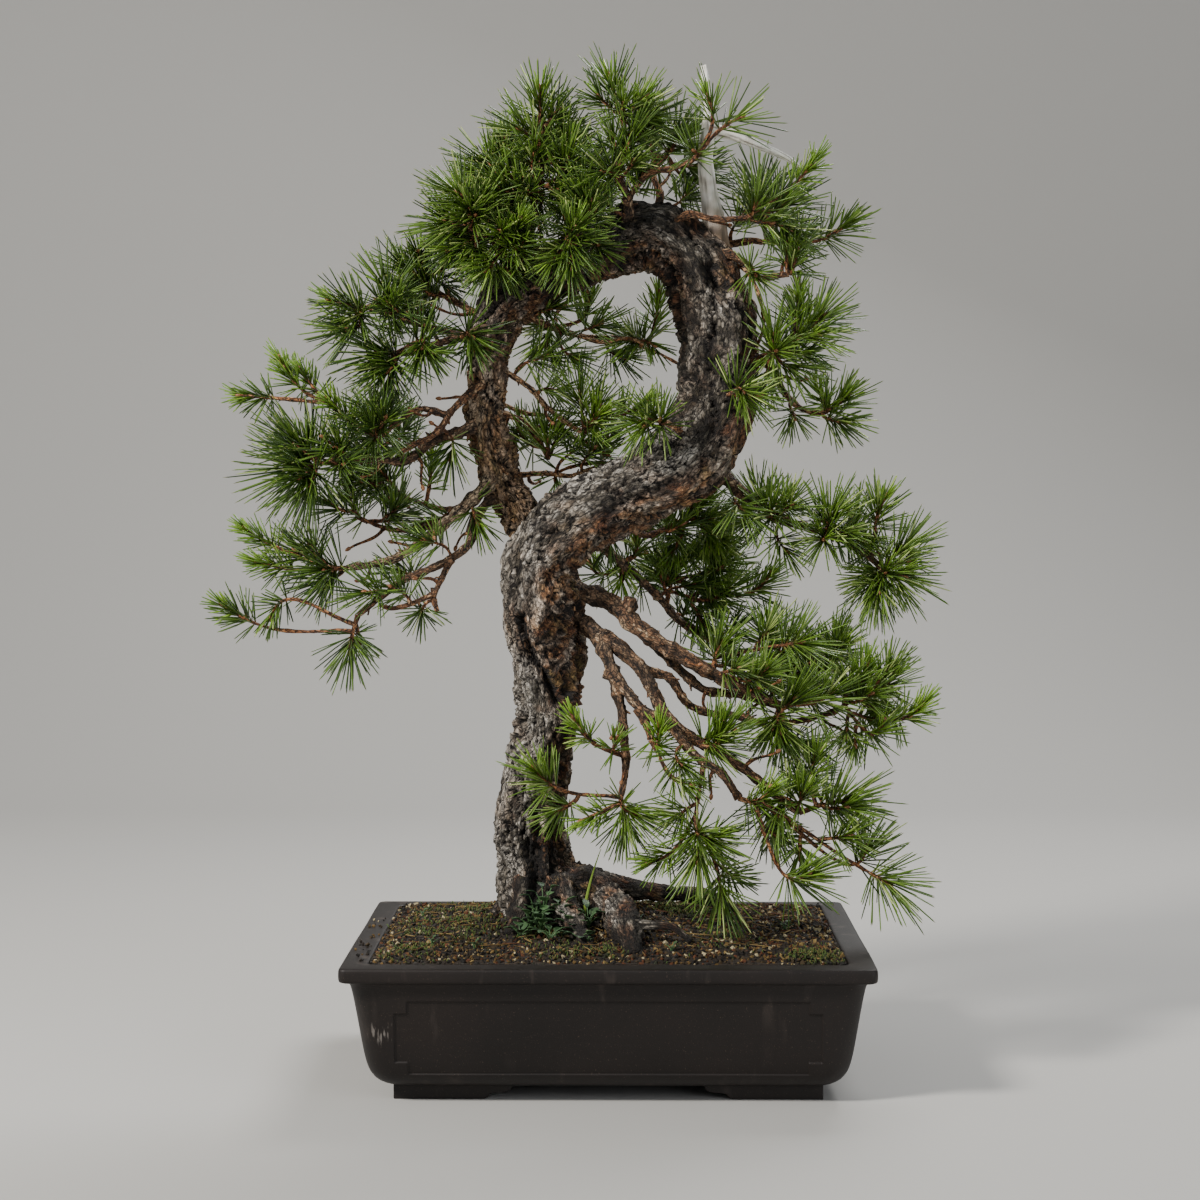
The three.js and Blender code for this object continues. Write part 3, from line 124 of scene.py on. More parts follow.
# Limbs: start radius, end radius, then x, depth, z along each.
LIMBS = {
    "lowerTop": [10, 4.5, [
        [-50, 34, 470], [-18, 18, 471], [8, 4, 460], [24, -4, 442], [45, -10, 428], [75, -14, 408],
        [105, -12, 392], [138, -8, 373], [170, -4, 362],
    ]],
    "lowerTopStub": [6, 5.4, [[12, 2, 452], [20, -3, 458], [22, -6, 468]]],
    "lowerTopFork": [5.5, 3.2, [
        [42, -8, 429], [58, 6, 410], [74, 14, 393], [95, 20, 377], [125, 26, 372], [150, 30, 367],
    ]],
    "lowerMain": [8.5, 3.4, [
        [-48, 26, 452], [-25, 0, 443], [-8, -14, 430], [12, -20, 417], [32, -26, 398], [45, -30, 372],
        [58, -34, 350], [82, -38, 328], [108, -42, 316], [135, -44, 297], [165, -44, 272], [190, -40, 254],
    ]],
    "lowerDrop": [6.5, 3, [
        [-8, -14, 430], [-1, -24, 407], [5, -32, 385], [12, -36, 360], [15, -40, 325], [17, -44, 298],
        [12, -50, 270],
    ]],
    "lowerBack": [4.5, 2.8, [
        [32, -24, 398], [60, -12, 388], [78, -2, 364], [98, 6, 354], [130, 10, 350], [160, 14, 342],
        [200, 18, 348], [228, 20, 356],
    ]],
    "lowerFront": [5.5, 3.6, [
        [2, -28, 396], [18, -40, 374], [32, -48, 358], [58, -56, 342], [84, -60, 313], [112, -62, 293],
        [130, -64, 268],
    ]],
    "lowerStub": [4.2, 3.2, [[30, -48, 358], [38, -54, 341], [42, -56, 327]]],
    "backLow": [5, 2.4, [
        [-34, 4, 542], [2, 34, 512], [28, 54, 490], [50, 62, 468], [70, 68, 446], [105, 74, 425],
        [140, 78, 405], [175, 82, 392], [222, 84, 398],
    ]],
    "backUp": [4.4, 2.4, [[9, -1, 559], [35, 34, 531], [60, 48, 539], [78, 54, 547]]],
    "rightLow": [7, 2.8, [
        [96, 8, 606], [118, 12, 586], [140, 8, 566], [162, 4, 551], [190, 0, 541], [225, -4, 530],
        [255, -8, 512], [272, -10, 497],
    ]],
    "rightMid": [4.6, 3, [[122, -14, 700], [138, -12, 703], [152, -10, 708]]],
    "rightDrop": [4.2, 2.4, [
        [128, 14, 706], [160, 18, 698], [173, 22, 673], [190, 24, 657], [210, 24, 651],
    ]],
    "rightFront": [3.4, 2.4, [[107, -7, 666], [122, -40, 671]]],
    "shoulderLow": [4.6, 3, [
        [86, 10, 806], [118, -4, 808], [136, -5, 799], [147, -6, 785], [165, -6, 787], [178, -6, 789],
    ]],
    "shoulderBack": [4.8, 3, [[84, 30, 815], [112, 34, 817], [140, 36, 822], [152, 36, 821]]],
    "shoulderFront": [4.4, 2.6, [[53, 14, 827], [78, -4, 848], [105, -14, 843], [138, -20, 845]]],
    "crownTop": [5.6, 2.6, [[17, 19, 826], [18, 0, 866], [7, -8, 888], [12, -10, 915], [15, -10, 936]]],
    "crownBack": [4.6, 2.4, [[44, 24, 836], [50, 42, 866], [44, 52, 890], [56, 54, 905]]],
    "crownFront": [3.6, 2.2, [[16, 0, 860], [40, -18, 889], [64, -28, 893], [84, -34, 902]]],
    "crownMid": [3.4, 2.2, [[-13, 21, 813], [-32, -24, 828], [-40, -38, 825]]],
    "crownLeftTop": [5.6, 2.8, [[-55, 25, 795], [-80, 8, 825], [-76, 4, 855], [-68, 2, 885], [-68, 0, 922]]],
    "crownLeft": [5.4, 3, [[-85, 28, 777], [-100, 4, 804], [-114, -4, 823]]],
    "crownLeftBack": [3.4, 2.4, [[-76, 6, 850], [-92, 22, 868], [-105, 30, 884]]],
    "crownDeep": [4.8, 2.4, [[-28, 30, 812], [-34, 62, 848], [-44, 88, 880]]],
    "crownDeepLeft": [4.8, 2.4, [[-72, 36, 790], [-100, 70, 826], [-130, 86, 848]]],
    "leftHigh": [5.2, 2.4, [
        [-111, 31, 736], [-140, 6, 730], [-165, -2, 722], [-192, -8, 713], [-212, -8, 711],
    ]],
    "leftHighFork": [3.2, 2, [[-146, 4, 728], [-178, 10, 737], [-210, 8, 747], [-240, 4, 756]]],
    "leftHighBack": [4, 2.2, [[-110, 36, 738], [-138, 46, 754], [-160, 50, 766], [-176, 50, 777]]],
    "leftMid": [6.4, 2.6, [
        [-120, 39, 648], [-150, 24, 632], [-176, 18, 625], [-190, 14, 612], [-206, 10, 604], [-230, 6, 606],
        [-258, 2, 605], [-283, 0, 603],
    ]],
    "leftMidFork": [4.6, 2.4, [
        [-120, 37, 685], [-142, 6, 668], [-158, 0, 652], [-170, -6, 634], [-190, -12, 622],
        [-208, -14, 614],
    ]],
    "leftMidTwig": [3, 2, [[-160, 0, 650], [-188, -8, 656], [-212, -12, 641], [-230, -16, 626]]],
    "leftLow": [7, 2.8, [
        [-110, 46, 592], [-130, 32, 572], [-150, 26, 553], [-175, 18, 533], [-200, 12, 514], [-230, 8, 503],
        [-260, 4, 498],
    ]],
    "leftLowFork": [5.2, 2.4, [
        [-108, 50, 580], [-134, 28, 545], [-137, 20, 525], [-155, 8, 509], [-178, 2, 497], [-205, -4, 486],
        [-228, -10, 468], [-250, -16, 451],
    ]],
    "leftLowTwig": [3.2, 2, [[-163, 22, 543], [-190, 32, 537], [-215, 38, 536], [-240, 42, 544]]],
    "leftLowBack": [3.6, 2.6, [[-148, 28, 556], [-164, 42, 557], [-178, 47, 559]]],
    "leftLowHook": [3, 2, [
        [-158, 6, 506], [-168, -2, 486], [-175, -8, 473], [-193, -14, 464], [-216, -18, 458],
        [-230, -20, 462],
    ]],
    "leftLowStub": [2.8, 2.2, [[-173, -6, 478], [-174, -8, 466], [-171, -8, 455]]],
    "innerTop": [3.8, 2.2, [[-93, 36, 754], [-55, 48, 736], [-20, 56, 727], [20, 60, 724], [46, 64, 711]]],
    "innerMid": [3.2, 2, [[-113, 39, 699], [-80, 38, 678], [-62, 42, 658], [-40, 44, 641], [-24, 44, 631]]],
    "innerLow": [3.2, 2, [[-115, 42, 655], [-85, 46, 643], [-70, 50, 625], [-61, 50, 607]]],
    "innerDeep": [3, 1.9, [[-98, 52, 590], [-62, 64, 592], [-35, 66, 590], [-4, 62, 602]]],
    "innerFront": [3, 2.2, [[82, -10, 624], [56, -40, 643], [44, -44, 645]]],
}

# Sprays: the limb and the share of its length at which the spray starts, then its shoots:
# x, depth, z, angle of the shoot in the front view, lean to the viewer, size, share that is young.
SPRAYS = {
    "crown_top": ["crownTop", 1, [
        [5, -6, 964, 104, 0.1, 0.95, 0.5], [22, -16, 950, 42, 0.3, 0.9, 0.5],
        [26, 0, 940, 15, -0.1, 1, 0.1],
    ]],
    "crown_peak_left": ["crownLeftTop", 1, [
        [-68, 0, 950, 92, 0.1, 0.95, 0.6], [-78, -10, 926, 152, 0.3, 1, 0.1],
        [-56, 12, 922, 35, -0.2, 0.9, 0.1],
    ]],
    "crown_left_back": ["crownLeftBack", 1, [
        [-112, 30, 890, 132, 0.1, 1, 0.1], [-94, 46, 905, 102, -0.3, 0.9, 0.1],
    ]],
    "crown_left_tip": ["crownLeft", 1, [
        [-152, -8, 840, 174, 0.1, 1, 0], [-140, -26, 862, 142, 0.35, 0.95, 0.1],
        [-142, -2, 818, 200, 0.2, 0.85, 0.4], [-92, -34, 828, 70, 0.7, 0.8, 0.5],
        [-112, -26, 800, 218, 0.5, 0.85, 0.2],
    ]],
    "crown_deep_left": ["crownDeepLeft", 1, [
        [-140, 94, 862, 148, -0.3, 1, 0.1], [-152, 78, 836, 192, -0.2, 0.9, 0.1],
        [-112, 108, 840, 120, -0.7, 0.95, 0],
    ]],
    "crown_deep": ["crownDeep", 1, [
        [-52, 98, 896, 100, -0.4, 1, 0.1], [-14, 102, 878, 55, -0.5, 1, 0.1],
        [-78, 100, 868, 150, -0.5, 0.95, 0.1], [-26, 62, 866, 80, 0.1, 0.9, 0.1],
    ]],
    "crown_mid_high": ["crownLeftTop", 0.62, [
        [-44, -20, 892, 72, 0.5, 0.95, 0.1], [-44, 14, 918, 96, 0, 0.85, 0.4],
        [-98, -18, 868, 152, 0.5, 0.9, 0.1],
    ]],
    "crown_centre": ["crownTop", 0.5, [[0, -34, 890, 190, 0.75, 1, 0], [18, -26, 915, 70, 0.5, 0.9, 0.1]]],
    "crown_back": ["crownBack", 1, [
        [62, 54, 918, 48, 0, 1, 0.1], [40, 70, 908, 104, -0.3, 1, 0.1], [80, 84, 882, 22, -0.5, 1, 0.1],
    ]],
    "crown_star": ["crownFront", 1, [
        [89, -38, 908, 170, 0.85, 0.95, 0], [118, -30, 938, 22, 0.2, 0.95, 0.2],
        [104, -22, 948, 112, 0.1, 0.8, 0.4],
    ]],
    "crown_mid": ["crownMid", 1, [[-42, -46, 822, -25, 0.65, 0.95, 0], [-22, -32, 858, 120, 0.5, 0.9, 0.1]]],
    "shoulder_star": ["shoulderFront", 1, [
        [144, -26, 850, 84, 0.5, 1.05, 0], [170, -12, 854, 40, 0.3, 0.95, 0.1],
        [190, -4, 882, 55, 0.1, 0.55, 0.9],
    ]],
    "shoulder_tip": ["shoulderBack", 1, [
        [222, 36, 826, 45, 0.1, 0.85, 0.7], [165, 46, 850, 62, -0.2, 1, 0.1],
        [150, 66, 868, 98, -0.45, 1, 0.1],
    ]],
    "shoulder_low": ["shoulderLow", 1, [[183, -6, 796, 78, 0.1, 0.8, 0.3]]],
    "right_mid": ["rightMid", 1, [
        [194, -16, 728, 0, 0.5, 0.9, 0.2], [202, -8, 740, 38, 0, 1, 0.2], [188, -4, 752, 92, 0, 0.5, 1],
        [162, -16, 718, 80, 0.2, 0.95, 0.1], [172, -4, 700, -22, 0.2, 0.9, 0],
    ]],
    "right_front": ["rightFront", 1, [[130, -48, 677, -60, 0.85, 0.95, 0]]],
    "right_drop": ["rightDrop", 1, [[222, 24, 656, 44, 0.1, 0.9, 0.6], [212, 16, 664, 112, 0.2, 0.5, 0.5]]],
    "right_low_star": ["rightLow", 0.42, [
        [161, -16, 550, 92, 0.8, 1.05, 0], [150, 22, 560, 110, -0.4, 0.9, 0],
    ]],
    "right_low_mid": ["rightLow", 0.68, [
        [218, -20, 543, 84, 0.65, 1.05, 0], [244, 8, 532, 96, -0.1, 0.95, 0.1],
    ]],
    "right_low_tip": ["rightLow", 1, [
        [280, -18, 492, -12, 0.5, 1, 0.3], [266, -14, 488, -104, 0.3, 0.95, 0],
        [286, -4, 514, 34, 0.1, 0.95, 0.2], [264, 2, 550, 62, 0.1, 0.8, 0.6],
    ]],
    "inner_top": ["innerTop", 1, [[28, 54, 726, 190, 0.5, 0.95, 0], [47, 68, 744, 84, 0, 0.6, 0.9]]],
    "inner_hanging": ["innerTop", 0.28, [
        [-62, 52, 729, -92, 0.2, 0.9, 0.1], [-18, 62, 750, 98, 0.1, 0.6, 0.6],
    ]],
    "inner_mid": ["innerMid", 1, [
        [-28, 42, 662, 94, 0.2, 1, 0], [-18, 36, 640, 55, 0.5, 0.8, 0.3], [20, 52, 652, 30, 0.1, 0.7, 0.6],
    ]],
    "inner_low": ["innerLow", 1, [[-60, 46, 612, 92, 0.3, 0.85, 0.2], [-84, 60, 624, 118, 0, 0.8, 0.1]]],
    "inner_deep": ["innerDeep", 1, [[-8, 60, 616, 60, 0, 0.8, 0.1], [-56, 72, 582, -35, 0, 0.7, 0.2]]],
    "inner_front": ["innerFront", 1, [[38, -48, 646, 205, 0.75, 0.95, 0]]],
    "left_high_tip": ["leftHigh", 1, [
        [-220, -10, 712, 180, 0.1, 1.05, 0], [-212, -24, 700, 222, 0.3, 0.95, 0],
        [-182, -28, 724, 250, 0.65, 1, 0],
    ]],
    "left_high_star": ["leftHigh", 0.32, [[-141, -24, 731, -35, 0.75, 0.95, 0.1]]],
    "left_high_fork": ["leftHighFork", 1, [
        [-255, 2, 757, 162, 0.1, 0.85, 0.7], [-250, -12, 735, 182, 0.2, 0.95, 0],
        [-216, 16, 770, 126, 0, 1, 0.1], [-206, -10, 752, 150, 0.5, 0.8, 0.3],
    ]],
    "left_high_back": ["leftHighBack", 1, [
        [-180, 50, 783, 108, 0, 0.8, 0.4], [-160, 62, 796, 90, -0.2, 0.8, 0.1],
        [-192, 74, 748, 168, -0.4, 0.95, 0.1], [-200, 44, 788, 118, 0, 0.85, 0.1],
    ]],
    "left_mid_tip": ["leftMid", 1, [
        [-302, -4, 598, 184, 0.1, 1.4, 0], [-292, -18, 590, 238, 0.3, 1.15, 0],
        [-292, 4, 612, 142, 0.1, 1.2, 0], [-262, -14, 614, 160, 0.5, 0.95, 0],
    ]],
    "left_mid_twig": ["leftMidTwig", 1, [
        [-297, -8, 680, 122, 0.1, 0.5, 0.4], [-314, -2, 680, 116, 0, 0.6, 1],
        [-345, 4, 668, 176, 0.1, 0.6, 0.6], [-232, -22, 628, 100, 0.3, 1.05, 0],
        [-262, -14, 648, 130, 0.3, 0.55, 0.8],
    ]],
    "left_mid_back": ["leftMid", 0.55, [
        [-222, 40, 632, 120, -0.3, 1, 0.1], [-240, 52, 612, 165, -0.3, 1, 0],
    ]],
    "left_low_back": ["leftLowBack", 1, [
        [-226, 60, 578, 152, 0, 0.9, 0.1], [-238, 48, 592, 138, 0.1, 0.8, 0.1],
        [-177, 46, 588, 88, 0.05, 0.45, 1],
    ]],
    "left_low_twig": ["leftLowTwig", 1, [
        [-256, 44, 552, 98, 0, 0.6, 0.8], [-208, 44, 549, 116, 0.1, 0.85, 0.5],
        [-270, 30, 556, 140, 0.2, 0.7, 0.2],
    ]],
    "left_low_star": ["leftLow", 1, [
        [-277, -4, 497, 190, 0.85, 1.05, 0], [-302, 12, 510, 152, 0, 0.85, 0.1],
        [-340, 14, 522, 146, 0, 0.6, 1], [-326, 2, 497, 162, 0.1, 0.6, 0.9],
    ]],
    "left_low_drop": ["leftLowFork", 1, [
        [-258, -22, 423, -90, 0.5, 0.9, 0], [-333, -16, 462, -104, 0.2, 0.6, 0.2],
        [-365, -10, 446, 142, 0.1, 0.7, 0.8],
    ]],
    "lower_high": ["backUp", 1, [
        [90, 56, 552, 72, 0, 0.8, 0.5], [102, 64, 538, 28, -0.1, 0.9, 0.1], [68, 74, 522, -30, 0, 0.8, 0],
    ]],
    "lower_back_inner": ["backLow", 0.22, [
        [30, 46, 514, 110, 0.4, 0.7, 0.2], [-14, 58, 490, 112, -0.1, 0.7, 0.3],
        [12, 50, 476, 92, 0, 0.6, 0.7],
    ]],
    "lower_back_mid": ["backLow", 0.42, [
        [66, 76, 494, 62, 0.1, 0.8, 0.1], [114, 74, 504, 74, 0, 0.9, 0.3], [110, 66, 468, 48, 0.2, 1, 0.1],
        [150, 72, 475, 58, 0, 0.7, 0.6],
    ]],
    "lower_back_tip": ["backLow", 1, [
        [222, 84, 416, 72, 0, 0.85, 0.6], [160, 88, 420, 92, 0.1, 0.95, 0.6],
        [190, 100, 400, 30, -0.4, 1, 0.1],
    ]],
    "lower_top_star": ["lowerTop", 0.72, [
        [107, 12, 415, 60, 0.4, 0.9, 0.1], [184, 4, 423, 10, 0.6, 1.05, 0],
        [150, -20, 388, 60, 0.3, 0.8, 0.2],
    ]],
    "lower_top_tip": ["lowerTop", 1, [
        [178, -12, 362, 42, 0.2, 1, 0], [168, -22, 344, -72, 0.4, 0.95, 0], [212, -4, 366, 35, 0, 1, 0.1],
    ]],
    "lower_back_end": ["lowerBack", 1, [
        [252, 22, 378, 78, 0.1, 0.95, 0.8], [276, 28, 378, 60, 0, 0.85, 0.3],
        [268, 8, 328, 70, 0.1, 0.75, 0.5], [300, 14, 344, 55, 0, 0.65, 0.9],
    ]],
    "lower_main_high": ["lowerMain", 0.62, [[114, -50, 322, 88, 0.3, 1, 0.6]]],
    "lower_main_tip": ["lowerMain", 1, [
        [228, -36, 265, 8, 0.45, 1.1, 0], [216, -28, 264, 130, 0, 0.5, 1], [200, -22, 298, 62, 0, 0.8, 0.6],
        [168, -56, 268, -80, 0.3, 0.95, 0.1],
    ]],
    "lower_front_tip": ["lowerFront", 1, [
        [150, -72, 262, 60, 0.4, 0.7, 0.6], [188, -78, 184, 40, 0.4, 1, 0.3],
        [272, -60, 187, -25, 0.45, 1.05, 0], [256, -40, 210, 78, 0, 0.95, 0],
    ]],
    "lower_front_loop": ["lowerFront", 0.72, [
        [94, -70, 224, 28, 0.2, 0.95, 0.4], [90, -82, 215, -100, 0.4, 1, 0],
        [56, -66, 207, 190, 0.2, 0.6, 0.3], [112, -78, 178, -88, 0.2, 1, 0],
    ]],
    "lower_stub_twig": ["lowerStub", 1, [
        [50, -58, 312, 90, 0.1, 0.55, 1], [70, -62, 283, -5, 0.2, 0.6, 0.1],
    ]],
    "lower_drop_tip": ["lowerDrop", 1, [
        [14, -62, 256, -10, 0.5, 1, 0.2], [-12, -60, 252, 200, 0.4, 0.5, 0.4],
        [-65, -56, 284, 120, 0.3, 0.85, 0.5],
    ]],
    "lower_drop_side": ["lowerDrop", 0.76, [
        [-26, -52, 330, 118, 0.2, 0.6, 0.6], [4, -60, 318, 70, 0.4, 0.5, 0.1],
    ]],
}

# Numbers and curves.


def linear(code):
    """Scene-linear colour of an sRGB hex code."""
    values = [int(code[i:i + 2], 16) / 255 for i in (1, 3, 5)]
    return tuple(v / 12.92 if v <= 0.04045 else ((v + 0.055) / 1.055) ** 2.4 for v in values)


def ease(x, low, high):
    """0 below low, 1 above high, and a smooth S between them."""
    t = np.clip((np.asarray(x, float) - low) / (high - low), 0, 1)
    return t * t * (3 - 2 * t)


def unit(v):
    """Vectors at length 1."""
    return v / np.maximum(np.linalg.norm(v, axis=-1, keepdims=True), 1e-9)


def waves(points, size, seed):
    """Smooth noise, about -1 to 1: sines of ten random directions, each with a wavelength near size."""
    rng = np.random.default_rng(seed)
    ways = unit(rng.normal(size=(10, 3))) * (2 * np.pi / size) * rng.uniform(0.6, 1.7, (10, 1))
    return np.sin(points @ ways.T + rng.uniform(0, 6.3, 10)).sum(-1) / 3.2


def in_sight(rows):
    """Places read from the front, moved along the line of sight to their depth."""
    rows = np.asarray(rows, float)
    k = (VIEWER["distance"] + rows[:, 1]) / VIEWER["distance"]
    x = VIEWER["x"] + (rows[:, 0] - VIEWER["x"]) * k
    z = VIEWER["z"] + (rows[:, 2] - VIEWER["z"]) * k
    return np.column_stack([x, rows[:, 1], z])


def as_seen(points):
    """The way back: the front view's x and z of points in space."""
    k = VIEWER["distance"] / (VIEWER["distance"] + points[..., 1])
    x = VIEWER["x"] + (points[..., 0] - VIEWER["x"]) * k
    z = VIEWER["z"] + (points[..., 2] - VIEWER["z"]) * k
    return np.stack([x, z], axis=-1)


PER_SPAN = 24  # points of a smooth course from each of its given points to the next


def spline(points, per_span=PER_SPAN):
    """Centripetal spline through points: on each span the cubic whose end slopes are the mean
    slopes to both neighbours, weighted by the square roots of the three distances."""
    p = np.vstack([2 * points[0] - points[1], points, 2 * points[-1] - points[-2]])
    d = np.linalg.norm(np.diff(p, axis=0), axis=1)[:, None] ** 0.5
    n = len(points) - 1
    d0, d1, d2 = d[:n], d[1:n + 1], d[2:n + 2]
    x0, x1, x2, x3 = p[:n], p[1:n + 1], p[2:n + 2], p[3:n + 3]
    s1 = ((x1 - x0) / d0 - (x2 - x0) / (d0 + d1) + (x2 - x1) / d1) * d1
    s2 = ((x2 - x1) / d1 - (x3 - x1) / (d1 + d2) + (x3 - x2) / d2) * d1
    u = np.linspace(0, 1, per_span, endpoint=False)[None, :, None]
    a, b = (-3 * x1 + 3 * x2 - 2 * s1 - s2)[:, None], (2 * x1 - 2 * x2 + s1 + s2)[:, None]
    curve = x1[:, None] + s1[:, None] * u + a * u ** 2 + b * u ** 3
    return np.vstack([curve.reshape(-1, 3), points[-1]])


def lengths_along(dense):
    """Length from the first point to each point of a row."""
    return np.concatenate([[0], np.cumsum(np.linalg.norm(np.diff(dense, axis=0), axis=1))])


def course(rows):
    """Smooth course through rows that start with x, depth and z."""
    return spline(in_sight([row[:3] for row in rows]))


def evenly(dense, steps=None, spacing=None):
    """Points at even lengths along a dense row of points, in so many steps or about so far
    apart, and those lengths."""
    lengths = lengths_along(dense)
    steps = steps or int(lengths[-1] / spacing)
    want = np.linspace(0, lengths[-1], steps + 1)
    return np.column_stack([np.interp(want, lengths, dense[:, k]) for k in range(3)]), want


def bezier(corners, steps=64):
    """Cubic curve with four control points."""
    u = np.linspace(0, 1, steps + 1)[:, None]
    a, b, c, d = corners
    return a * (1 - u) ** 3 + 3 * b * u * (1 - u) ** 2 + 3 * c * u ** 2 * (1 - u) + d * u ** 3


def side_frames(points):
    """Tangents along a row of points, and two side directions that turn as little as they can:
    each is the last one without its part along the new tangent."""
    tangent = unit(np.gradient(points, axis=0))
    side = np.array([0, 0, 1.0]) if abs(tangent[0, 2]) < 0.9 else np.array([1.0, 0, 0])
    normal = np.empty_like(points)
    for i, along in enumerate(tangent):
        side = side - along * side.dot(along)
        side = side / np.linalg.norm(side)
        normal[i] = side
    return tangent, normal, np.cross(tangent, normal)


def cells(u, v, around, seed):
    """Cells over u, which is open, and v, which closes after `around` cells. Every unit square
    holds one seed at a random place. Gives how much nearer the nearest seed is than the next
    one, which is 0 on a border, and a number from 0 to 1 for the cell."""
    rng = np.random.default_rng(seed)
    low = int(np.floor(u.min())) - 2
    seeds = rng.random((int(np.ceil(u.max())) + 4 - low, around, 3))
    row, column = np.floor(u).astype(int), np.floor(v).astype(int)
    first, second, mark = np.full(u.shape, 9.0), np.full(u.shape, 9.0), np.zeros(u.shape)
    for i in (-1, 0, 1):
        for j in (-1, 0, 1):
            cell = seeds[row + i - low, (column + j) % around]
            away = (row + i + cell[..., 0] - u) ** 2 + (column + j + cell[..., 1] - v) ** 2
            closer = away < first
            second = np.where(closer, first, np.minimum(second, away))
            mark = np.where(closer, cell[..., 2], mark)
            first = np.where(closer, away, first)
    return np.sqrt(second) - np.sqrt(first), mark


def from_line(points, line):
    """Shortest distance in the plane from points to a row of straight stretches."""
    best = np.full(points.shape[:-1], 1e9)
    for a, b in zip(np.asarray(line[:-1], float), np.asarray(line[1:], float)):
        t = np.clip(((points - a) @ (b - a)) / ((b - a) @ (b - a)), 0, 1)
        best = np.minimum(best, np.linalg.norm(points - a - t[..., None] * (b - a), axis=-1))
    return best


def depth_in_wood(points, stretches):
    """How deep points lie in wood that is given as stretches: ends a and b, and radius."""
    a, b, r = stretches
    t = np.clip(((points[:, None] - a) * (b - a)).sum(-1) / ((b - a) ** 2).sum(-1), 0, 1)
    away = np.linalg.norm(points[:, None] - a - t[..., None] * (b - a), axis=-1)
    return (r - away).max(axis=1)


# Surfaces and pieces.


def tube(path, reach, angle):
    """Tube surface: point (i, j) lies reach_ij from point i of the path, towards
    cos(angle_j) of its first side direction plus sin(angle_j) of its second."""
    _, normal, binormal = side_frames(path)
    way = np.cos(angle)[None, :, None] * normal[:, None] + np.sin(angle)[None, :, None] * binormal[:, None]
    return path[:, None] + way * reach[..., None], way


def around(sides):
    """Even angles round a full turn."""
    return np.arange(sides) * 2 * np.pi / sides


def closed(grid, marks, look=0):
    """Skin of a grid whose columns close round, with a pole on each end."""
    rows, columns = grid.shape[:2]
    index = np.arange(rows * columns).reshape(rows, columns)
    right = np.roll(index, -1, axis=1)
    first, last = rows * columns, rows * columns + 1
    quads = np.stack([index[:-1], right[:-1], right[1:], index[1:]], axis=-1).reshape(-1, 4)
    near = np.stack([np.full(columns, first), right[0], index[0]], axis=-1)
    far = np.stack([np.full(columns, last), index[-1], right[-1]], axis=-1)
    points = np.vstack([grid.reshape(-1, 3), grid[0].mean(0), grid[-1].mean(0)])
    values = {}
    for name, value in marks.items():
        value = np.broadcast_to(value, (rows, columns) + np.shape(value)[2:])
        flat = value.reshape(rows * columns, *value.shape[2:])
        values[name] = np.concatenate([flat, [value[0].mean(0), value[-1].mean(0)]])
    return {"points": points, "quads": quads, "tris": np.vstack([near, far]), "marks": values, "look": look}


def spikes(base, way, length, bend, width, marks, look=0):
    """Needles as closed three-sided rods: a narrow ring at the base, full width at half length,
    a little less near the end, and a short point. A bend shifts each by the square of its share
    of the length."""
    n = len(base)
    aside = np.where(np.abs(way[:, 2:]) < 0.9, [[0, 0, 1.0]], [[1.0, 0, 0]])
    side = unit(np.cross(way, aside))
    other = np.cross(way, side)
    turn = (np.arange(n) * 1.7)[:, None] + around(3)
    ring = side[:, None] * np.cos(turn)[..., None] + other[:, None] * np.sin(turn)[..., None]
    length, width = length[:, None, None], width[:, None, None]
    rows = [
        base[:, None] + way[:, None] * length * t + bend[:, None] * t * t + ring * width * reach
        for t, reach in ((0, 0.4), (0.5, 0.56), (0.93, 0.42))
    ]
    tip = base[:, None] + way[:, None] * length + bend[:, None]
    start = (np.arange(n) * 10)[:, None, None]
    quads = np.array([[i, (i + 1) % 3, (i + 1) % 3 + 3, i + 3] for i in range(3)])
    quads = np.vstack([quads, quads + 3]) + start
    tris = np.array([[0, 2, 1], [6, 7, 9], [7, 8, 9], [8, 6, 9]]) + start
    values = {name: np.repeat(np.broadcast_to(value, n), 10) for name, value in marks.items()}
    values["along"] = np.tile(np.repeat([0, 0.5, 0.93, 1], [3, 3, 3, 1]), n)
    return {
        "points": np.concatenate([*rows, tip], axis=1).reshape(-1, 3),
        "quads": quads.reshape(-1, 4), "tris": tris.reshape(-1, 3), "marks": values, "look": look,
    }


